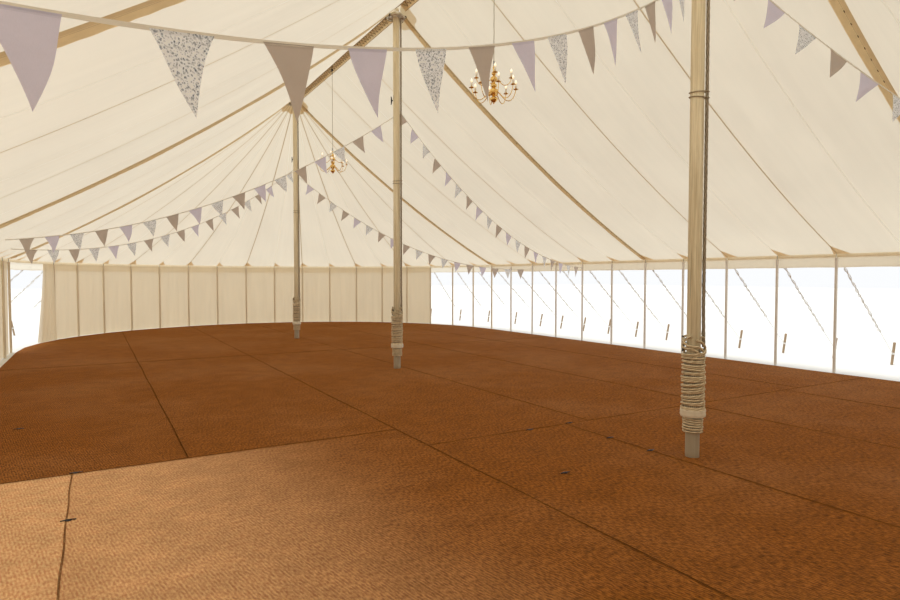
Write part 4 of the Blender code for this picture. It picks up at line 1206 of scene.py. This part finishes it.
def door_curtain():
    """The wall canvas of the doorway, drawn aside in loose folds that spread towards its foot."""
    spot, next_spot = plan(DOORWAY[0]), plan(DOORWAY[0] + 1)
    along = (next_spot - spot) / np.linalg.norm(next_spot - spot)
    inward = np.array([-along[1], along[0]])
    share = np.linspace(0, 1, 150)[:, None]
    depth = np.linspace(0, 1, 30)
    wide = 0.44 + 0.33 * depth**1.3
    deep = 0.016 + 0.034 * depth**0.7
    phase = 2 * np.pi * CURTAIN_FOLDS * share + 0.5 * np.sin(6 * share + depth * 1.5)
    zigzag = np.sin(phase) + 0.25 * np.sin(2 * phase + 1.0)
    edge = 1 - np.clip((share - 0.97) / 0.03, 0, 1)
    lateral = 0.034 + share * wide + 0.006 * np.cos(phase)
    inside = 0.008 + deep * (1 + zigzag * 0.8) * edge
    flat = spot + along * lateral[..., None] + inward * inside[..., None]
    points = raised(flat, WALL_HEIGHT * (1 - depth) + 0.002)
    run = run_along(points[:, len(depth) // 2])
    cut = joined(run[:, None], WALL_HEIGHT * depth)
    made = cloth("door_curtain_canvas", points, cut, WALL_CANVAS, ["door_curtain"], flip=True)


# Matting

MATTING_INSET = 0.12
MATTING_TOP = 0.008
# Joints between strips of matting, as two ends, and the pegs that hold them down.
MAT_JOINTS = [
    ((-5.95, -3.95), (-1.85, -3.92)),
    ((-4.72, -3.95), (-4.72, -8.8)),
    ((-1.85, -4.62), (5.95, -4.60)),
    ((-0.18, -4.62), (-0.18, -11.9)),
    ((-1.85, -3.92), (-1.86, -11.8)),
    ((1.85, -4.60), (1.85, -11.8)),
    ((3.80, -4.60), (3.80, -10.7)),
    ((-3.85, -3.92), (-3.85, 10.6)),
    ((-1.85, -3.92), (-1.85, 11.8)),
    ((0.15, -4.60), (0.15, 12.0)),
    ((2.15, -4.60), (2.15, 11.7)),
    ((4.15, -4.60), (4.15, 10.4)),
    ((-5.95, 3.1), (5.95, 3.1)),
]
MAT_PEGS = [
    (-5.24, -1.95), (-4.71, -5.04), (-4.69, -3.93), (-1.28, -5.90),
    (-0.67, -4.63), (-0.12, -4.61), (-0.18, -5.28), (-0.18, -5.79),
]
NARROW_JOINT = 1


def matting():
    """The coir floor, in strips, with sewn joints and small pegs."""
    shape = Shape()
    share = np.linspace(0, 1, 91)[:, None]
    edge = plan(np.linspace(0, PLACES, PLACES * 2 + 1), -MATTING_INSET)
    middle = joined(0.0, np.clip(edge[:, 1], -KING_POLE_SPACING, KING_POLE_SPACING))
    flat = middle[:, None] * (1 - share) + edge[:, None] * share
    x, y = flat[..., 0], flat[..., 1]
    lift = 0.0012 * np.sin(x * 5.1 + np.sin(y * 2.3) * 2) + 0.0010 * np.sin(y * 3.7)
    shape.grid(raised(flat, MATTING_TOP - 0.0022 + lift), flat, flip=True)
    rim = np.stack([raised(edge, MATTING_TOP - 0.003), raised(edge, 0.0005)], 1)
    shape.grid(rim, np.stack([edge, edge + 0.008], 1), flip=True)
    floor = shape.make("coir_matting_floor", [COIR], ["coir_matting"])
    joints = Shape()
    for k, (start, end) in enumerate(MAT_JOINTS):
        start, end = np.array(start), np.array(end)
        length = np.linalg.norm(end - start)
        way = (end - start) / length
        side = np.array([-way[1], way[0]])
        run = np.linspace(0, 1, int(length / 0.12) + 2)[:, None]
        line = start * (1 - run) + end * run + side * 0.003 * np.sin(run * 40.0 + k)
        beyond = np.maximum(np.abs(line[:, 1]) - KING_POLE_SPACING, 0)
        line = line[np.hypot(line[:, 0], beyond) < HALF_WIDTH - 0.14]
        narrowest, ripple = (0.0008, 0.0003) if k == NARROW_JOINT else (0.0027, 0.0009)
        half = narrowest + ripple * np.sin(np.arange(len(line)) * 1.9)[:, None]
        joints.ribbon(*(raised(line + side * sign * half, MATTING_TOP + 0.0006) for sign in (-1, 1)))
        for sign in (-1, 1):
            row = line + side * sign * (half[0] + 0.0030)
            joints.tube(raised(row, MATTING_TOP - 0.0004), 0.0014, 6, kind=1)
    seams = joints.make("matting_joints", [JOINT, JOINT_CORD])
    pegs = Shape()
    for x, y in MAT_PEGS:
        pegs.turned([(0.020, 0.0070), (0.019, 0.0105), (0.013, 0.0125), (0.004, 0.0128)], (x, y), 12)
        for sign in (-1, 1):
            pegs.tube([(x + sign * 0.045, y, 0.009), (x + sign * 0.02, y, 0.012), (x, y, 0.0125)], 0.004, 6)
    pins = pegs.make("matting_pegs", [DARK_STEEL])


# Chandeliers

CHANDELIER_BOTTOM = 3.80
CHANDELIER_HEIGHT = 0.52
CHANDELIER_PLACES = {1: -2.968, 2: 3.248}
CHANDELIER_COLUMN = [
    (0.004, 0.0), (0.009, 0.004), (0.006, 0.014), (0.020, 0.022), (0.040, 0.045), (0.046, 0.062),
    (0.040, 0.078), (0.020, 0.088), (0.016, 0.100), (0.034, 0.112), (0.047, 0.140), (0.050, 0.160),
    (0.043, 0.182), (0.022, 0.198), (0.018, 0.208), (0.030, 0.216), (0.036, 0.232), (0.030, 0.248),
    (0.017, 0.258), (0.015, 0.275), (0.030, 0.290), (0.041, 0.316), (0.036, 0.338), (0.018, 0.352),
    (0.014, 0.366), (0.024, 0.378), (0.027, 0.392), (0.018, 0.408), (0.010, 0.424), (0.009, 0.452),
    (0.015, 0.460), (0.015, 0.468), (0.006, 0.476), (0.005, 0.490),
]
# The tiers: how many arms, the share of a step by which they are turned, and the line of an arm.
CHANDELIER_TIERS = [
    (8, 0.5, [
        (0.040, 0.190), (0.085, 0.145), (0.125, 0.092), (0.175, 0.068), (0.222, 0.098), (0.250, 0.160),
        (0.263, 0.232),
    ]),
    (4, -1 / 3, [
        (0.028, 0.345), (0.060, 0.325), (0.095, 0.280), (0.130, 0.264), (0.172, 0.282), (0.196, 0.325),
        (0.203, 0.362),
    ]),
]
ARM_REACH = 1.12
COLUMN_SWELL = 1.15
COLUMN_LIFT = 0.030
PAN = [
    (0.005, -0.004), (0.012, -0.001), (0.030, 0.002), (0.034, 0.006), (0.031, 0.006), (0.013, 0.003),
    (0.012, 0.014), (0.015, 0.019), (0.012, 0.020),
]
CANDLE = [(0.0125, 0.015), (0.0125, 0.070), (0.009, 0.074)]
LAMP = [(0.005, 0.072), (0.010, 0.080), (0.0145, 0.092), (0.0130, 0.104), (0.0075, 0.116), (0.002, 0.126)]


def chandelier(number, y):
    """A turned brass column with two tiers of curved arms, each with a pan, a candle and a lamp."""
    shape = Shape()
    column = [(radius * COLUMN_SWELL, height + COLUMN_LIFT) for radius, height in CHANDELIER_COLUMN]
    shape.turned(column, (0, y, CHANDELIER_BOTTOM), 28)
    lamps = Shape()
    for count, offset, line in CHANDELIER_TIERS:
        knots = np.array(line)
        at = np.linspace(0, len(knots) - 1, 37)
        smooth = [np.interp(at, range(len(knots)), knots[:, k]) for k in (0, 1)]
        out, level = (np.convolve(np.pad(s, 3, mode="edge"), np.ones(7) / 7, "valid") for s in smooth)
        out, level = out * ARM_REACH, level + CHANDELIER_BOTTOM
        for k in range(count):
            way = heading(2 * math.pi * (k + offset) / count)
            arm = joined(way[0] * out, way[1] * out + y, level)
            shape.tube(arm, np.linspace(0.0058, 0.0045, len(arm)), 8)
            shape.turned(PAN, arm[-1], 18)
            lamps.turned(CANDLE, arm[-1], 12)
            lamps.turned(LAMP, arm[-1], 12, kind=1)
    shape.make(f"chandelier_brass_{number}", [BRASS], [f"chandelier_{number}"], sharp=50)
    lamps.make(f"chandelier_candles_{number}", [WAX, FLAME])


def chandelier_rope(number, y):
    """The rope that a chandelier hangs from, with its links and the block under the ridge."""
    top = fall(0.0) - 0.014
    foot = CHANDELIER_BOTTOM + CHANDELIER_HEIGHT
    rope = Shape()
    heights = np.linspace(foot + 0.03, top - 0.16, 120)
    rope.tube(joined(0.0008 * np.sin(heights * 31), y + 0.0008 * np.cos(heights * 31), heights), 0.0050, 6)
    rope.make(f"chandelier_rope_laid_{number}", [PALE_ROPE], [f"chandelier_rope_{number}"])
    fittings = Shape()
    turn = np.linspace(0, 2 * np.pi, 25)
    links = [(foot + 0.012, 0.014), (foot + 0.045, 0.012)]
    links += [(top - 0.135, 0.016), (top - 0.165, 0.014), (top - 0.02, 0.012)]
    for level, size in links:
        link = joined(size * 0.6 * np.cos(turn), y, level + size * 1.3 * np.sin(turn))
        fittings.tube(link, 0.0030, 8, capped=False)
    block = [(0.006, -0.118), (0.020, -0.108), (0.023, -0.090), (0.020, -0.070), (0.007, -0.058)]
    fittings.turned(block, (0, y, top), 14)
    fittings.tube([(0, y, top - 0.058), (0, y, top - 0.015)], 0.0035, 6)
    fittings.make(f"chandelier_links_{number}", [DARK_STEEL])


# Bunting

PENNANT_WIDTH = 0.206
PENNANT_LENGTH = 0.256
TAPE_HEIGHT = 0.016
CLOTHS = "tls"
# The least area of a string, as a share of its flat size.
LEAST_AREA = 0.301


def bunting(
    number, side, place, inset, end_height, height, sag, bare, pitch, cloths,
    growth=0.0, size=1.0, last_shifts=(),
):
    """A string of pennants on a tape, from a king pole out to the eave."""
    centre = np.array([0.0, KING_POLES[number]])
    end = plan(place, -inset)
    low = float(fall(HALF_WIDTH - inset)) - 0.006 if end_height is None else end_height
    span = float(np.linalg.norm(end - centre))
    way = (end - centre) / span
    aside = np.array([-way[1], way[0]])
    draw = np.random.default_rng(number * 10 + (side == "left"))

    def line(distance):
        share = distance / span
        clear = TAPE_HEIGHT * np.minimum(1.0, (1 - share) * 10)
        return height + (low - height) * share - 4 * sag * share * (1 - share) + clear

    def along(distance, step):
        slope = (line(distance + step) - line(distance)) / step
        return distance + step / math.hypot(1, slope)

    def spots(distance, level, off):
        return joined(*(centre[k] + way[k] * distance + aside[k] * off for k in (0, 1)), level)

    shape = Shape()
    start = KING_POLE_RADIUS + 0.0003
    runs = np.linspace(start, span, 220)
    twist = 0.0016 * np.sin(runs * 7.0 + number)
    over = spots(runs, line(runs), twist)
    shape.ribbon(over, spots(runs, line(runs) - TAPE_HEIGHT, -twist))
    corners = []
    following = along(start, bare)
    while not corners or along(following, pitch) < span:
        corners.append(following)
        following = along(following, pitch * (1 + growth * (len(corners) - 1)))
    for back, shift in enumerate(reversed(last_shifts), 1):
        corners[-back] += shift
    down = np.linspace(0, 1, 11)[:, None]
    across = np.linspace(0, 1, 7)
    for count, left in enumerate(corners):
        right = along(left, PENNANT_WIDTH * (1 + 0.6 * max(0.0, size - 1)))
        middle = (left + right) / 2
        slope = (line(right) - line(left)) / (right - left)
        angle = 0.90 * math.atan(slope)
        hang = PENNANT_LENGTH * size * draw.uniform(0.96, 1.03)
        tip = (middle + hang * math.sin(angle), line(middle) - TAPE_HEIGHT - hang * math.cos(angle))
        curl, phase, blow = draw.uniform(-0.03, 0.03), draw.uniform(0, 6.28), draw.uniform(-0.02, 0.02)
        bow = draw.uniform(-0.013, 0.013)
        top = left + (right - left) * across
        distance = top * (1 - down) + tip[0] * down + bow * np.sin(np.pi * down)
        distance += 0.010 * np.sin(down * 6.0 + phase) * (across - 0.5) * (1 - down)
        level = (line(top) - TAPE_HEIGHT * 0.55) * (1 - down) + tip[1] * down
        wave = 0.022 * np.sin(across * 5.0 * (1 - 0.5 * down) + phase + down * 3) * down * (1 - down)
        off = wave + curl * down**2 + blow * down + 0.0012
        cut_x = (across - 0.5) * PENNANT_WIDTH * (1 - down) + count * 0.7 + number * 9
        kind = 1 + CLOTHS.index(cloths[count % len(cloths)])
        shape.grid(spots(distance, level, off), joined(cut_x, down * PENNANT_LENGTH), kind)
    finishes = [BUNTING_TAPE, TAUPE_CLOTH, LILAC_CLOTH, SPECKLED_CLOTH]
    made = shape.make(f"bunting_cloth_{number}_{side}", finishes, [f"bunting_{number}_{side}"])
    length = float(run_along(over)[-1])
    drop = TAPE_HEIGHT + PENNANT_LENGTH * size
    area = length * TAPE_HEIGHT + len(corners) * PENNANT_WIDTH * PENNANT_LENGTH * size / 2
    max(area, LEAST_AREA * length * drop)


# Camera, light and stage


def camera():
    made = bpy.data.cameras.new("view")
    made.lens = 24.66
    made.sensor_width = 36
    made.clip_start = 0.05
    made.clip_end = 500
    eye = bpy.data.objects.new("view", made)
    eye.location = (-4.54, -9.686, 1.58)
    eye.rotation_euler = (math.radians(90 - 2.10), 0, -math.radians(30.03))
    bpy.context.scene.collection.objects.link(eye)
    bpy.context.scene.camera = eye


def daylight():
    world = bpy.data.worlds.new("studio")
    world.use_nodes = True
    world.node_tree.nodes["Background"].inputs["Color"].default_value = (0.97, 0.985, 1.0, 1)
    world.node_tree.nodes["Background"].inputs["Strength"].default_value = 1.0
    bpy.context.scene.world = world
    lamp = bpy.data.lights.new("key", "SUN")
    lamp.energy = 2.1
    lamp.angle = math.radians(25)
    lamp.color = (1.0, 0.97, 0.92)
    key = bpy.data.objects.new("key", lamp)
    key.rotation_euler = Vector((-0.12, 0.12, 1.0)).to_track_quat("Z", "Y").to_euler()
    bpy.context.scene.collection.objects.link(key)
    bpy.context.scene.view_settings.view_transform = "Standard"


STAGE_REACH = 90.0


def stage_floor():
    """The plain floor under the part, which isn't a piece of it."""
    shape = Shape()
    side = np.array([-STAGE_REACH, STAGE_REACH])
    points = np.stack(np.broadcast_arrays(side[:, None], side[None, :], -0.004), -1)
    shape.grid(points, points[..., :2])
    mesh = bpy.data.meshes.new("floor")
    mesh.from_pydata(shape.points, [], shape.faces)
    mesh.materials.append(plain_finish("studio_floor", (0.74, 0.74, 0.72), 0.7, grain=8.0, spread=0.01))
    made = bpy.data.objects.new("floor", mesh)
    bpy.context.scene.collection.objects.link(made)


camera()
daylight()
stage_floor()

ROOF_CANVAS = canvas_finish("roof_canvas", tapes_every=2 * PLACE_WIDTH)
SEAM_CANVAS = canvas_finish("seam_canvas", glow=0.92, through=(0.97, 0.95, 0.90))
CROWN_CANVAS = webbing_finish("crown_canvas", (0.90, 0.80, 0.64), 0.56, through=(0.93, 0.83, 0.64))
# A darker copy of the crown canvas for the far crown: painted shade.
FAR_CROWN_CANVAS = webbing_finish("far_crown_canvas", (0.78, 0.64, 0.44), 0.48)
VALANCE_CANVAS = canvas_finish("valance_canvas", tan_edge=True, glow=0.53, through=(0.92, 0.81, 0.62))
WALLED_VALANCE_CANVAS = canvas_finish(
    "walled_valance_canvas", tan_edge=True, glow=0.72, through=(0.98, 0.92, 0.78)
)
WALL_CANVAS = canvas_finish(
    "wall_canvas", seam_every=CANVAS_WIDTH, layers=1.06, through=SHADED_WALL_GLOW, fold_shade_amount=0.035
)
TAPE = webbing_finish("seam_tape", (0.78, 0.68, 0.52), 0.46, line_width=TAPE_WIDTH)
END_TAPE = webbing_finish("end_seam_tape", (0.64, 0.52, 0.34), 0.40, line_width=TAPE_WIDTH)
PATCH = webbing_finish("eave_patch", (0.86, 0.68, 0.45), 0.47, through=(0.93, 0.75, 0.50))
BAND = webbing_finish("eave_band", (0.97, 0.89, 0.74), 0.62, through=(0.98, 0.90, 0.74))
RIDGE_WEBBING = ridge_finish("ridge_webbing", RIDGE_WIDTH)
STRAP = strap_finish("laced_webbing", STRAP_WIDTH)
# Its brown is the darker painted shade of the flap beyond the lacing.
BROWN_STRAP = strap_finish("brown_laced_webbing", STRAP_WIDTH, tan=(0.68, 0.54, 0.34), brown=(0.38, 0.26, 0.14))
PALE_STRAP = strap_finish(
    "pale_laced_webbing", STRAP_WIDTH, tan=(0.80, 0.69, 0.50), brown=(0.63, 0.52, 0.36), dashes=0.2
)
LACING = rope_finish("lacing", (0.62, 0.46, 0.27), (0.24, 0.15, 0.08))
# Near black: painted shade of the lacing holes.
DARK_LACING = rope_finish("dark_lacing", (0.22, 0.10, 0.05), (0.08, 0.035, 0.02))
SIDE_TIMBER = timber_finish("side_timber", (0.93, 0.90, 0.86), (0.70, 0.665, 0.62))
SHADED_TIMBER = timber_finish("shaded_side_timber", (0.84, 0.74, 0.58), (0.62, 0.52, 0.38))
KING_TIMBER = timber_finish("king_timber", (0.99, 0.91, 0.69), (0.44, 0.34, 0.19), knots=0.12, lit_above_shaded_foot=True)
STAKE_TIMBER = timber_finish("stake_timber", (0.50, 0.37, 0.24), (0.24, 0.16, 0.09))
STEEL = steel_finish("galvanised_steel", (0.66, 0.65, 0.62), (0.42, 0.40, 0.36))
BRIGHT_STEEL = steel_finish("bright_steel", (0.82, 0.79, 0.72), (0.56, 0.52, 0.44))
BLACK_IRON = plain_finish("black_iron", (0.022, 0.022, 0.026), 0.55)
DARK_STEEL = steel_finish("dark_steel", (0.10, 0.10, 0.11), (0.03, 0.03, 0.035))
ROPE = rope_finish("hauling_rope", (0.84, 0.72, 0.52), (0.46, 0.35, 0.21), around=0.062)
# Painted shade: a darker copy of the hauling rope, for the line in the pole's shade and the core seen in the
# gaps of the winding.
SHADED_ROPE = rope_finish("painted_shade_rope", (0.50, 0.43, 0.33), (0.17, 0.13, 0.09), around=0.05)
TIE_ROPE = rope_finish("tie_rope", (0.52, 0.42, 0.28), (0.22, 0.16, 0.10), around=0.03)
PALE_ROPE = rope_finish("pale_rope", (0.62, 0.58, 0.48), (0.36, 0.32, 0.24), around=0.03)
GUY_ROPE = rope_finish("guy_rope", (0.97, 0.965, 0.94), (0.78, 0.75, 0.70), pitch=0.03, around=0.036)
HESSIAN = canvas_finish("hessian", glow=0.02)
COIR = coir_finish("coir")
JOINT = plain_finish("joint_tape", (0.055, 0.020, 0.006), 0.9, grain=300.0, specular_ior_level=0.0)
JOINT_CORD = plain_finish("joint_cord", (0.24, 0.10, 0.025), 0.9, grain=300.0, specular_ior_level=0.0)
BRASS = brass_finish("brass")
WAX = plain_finish("candle", (0.92, 0.88, 0.78), 0.5, grain=60.0)
FLAME = flame_finish("lamp_glow")
BUNTING_TAPE = pennant_finish("bunting_tape", (0.84, 0.80, 0.72))
TAUPE_CLOTH = pennant_finish("taupe_cloth", (0.59, 0.52, 0.48))
LILAC_CLOTH = pennant_finish("lilac_cloth", (0.72, 0.69, 0.84), painted_glow=(0.36, 0.40, 0.58))
SPECKLED_CLOTH = pennant_finish("speckled_cloth", (0.94, 0.96, 1.0), speckled=True, painted_glow=(0.45, 0.58, 0.72))

for row in ROWS:
    for build in (side_poles, eave_band, guy_ropes, stakes):
        build(*row)
for king in KING_POLES.items():
    for build in (king_pole, king_pole_steel, crown, hauling_rope, hessian_cuff, tie_ring, cleats):
        build(*king)
roof()
for number, y in CHANDELIER_PLACES.items():
    ridge_webbing(number, KING_POLES[number], KING_POLES[number + 1])
    chandelier(number, y)
    chandelier_rope(number, y)
for number in KING_POLES:
    for side in ("right", "left"):
        laced_strap(number, side)
for length in WALLS:
    wall(*length)
door_curtain()
matting()
for string in STRINGS:
    bunting(*string)
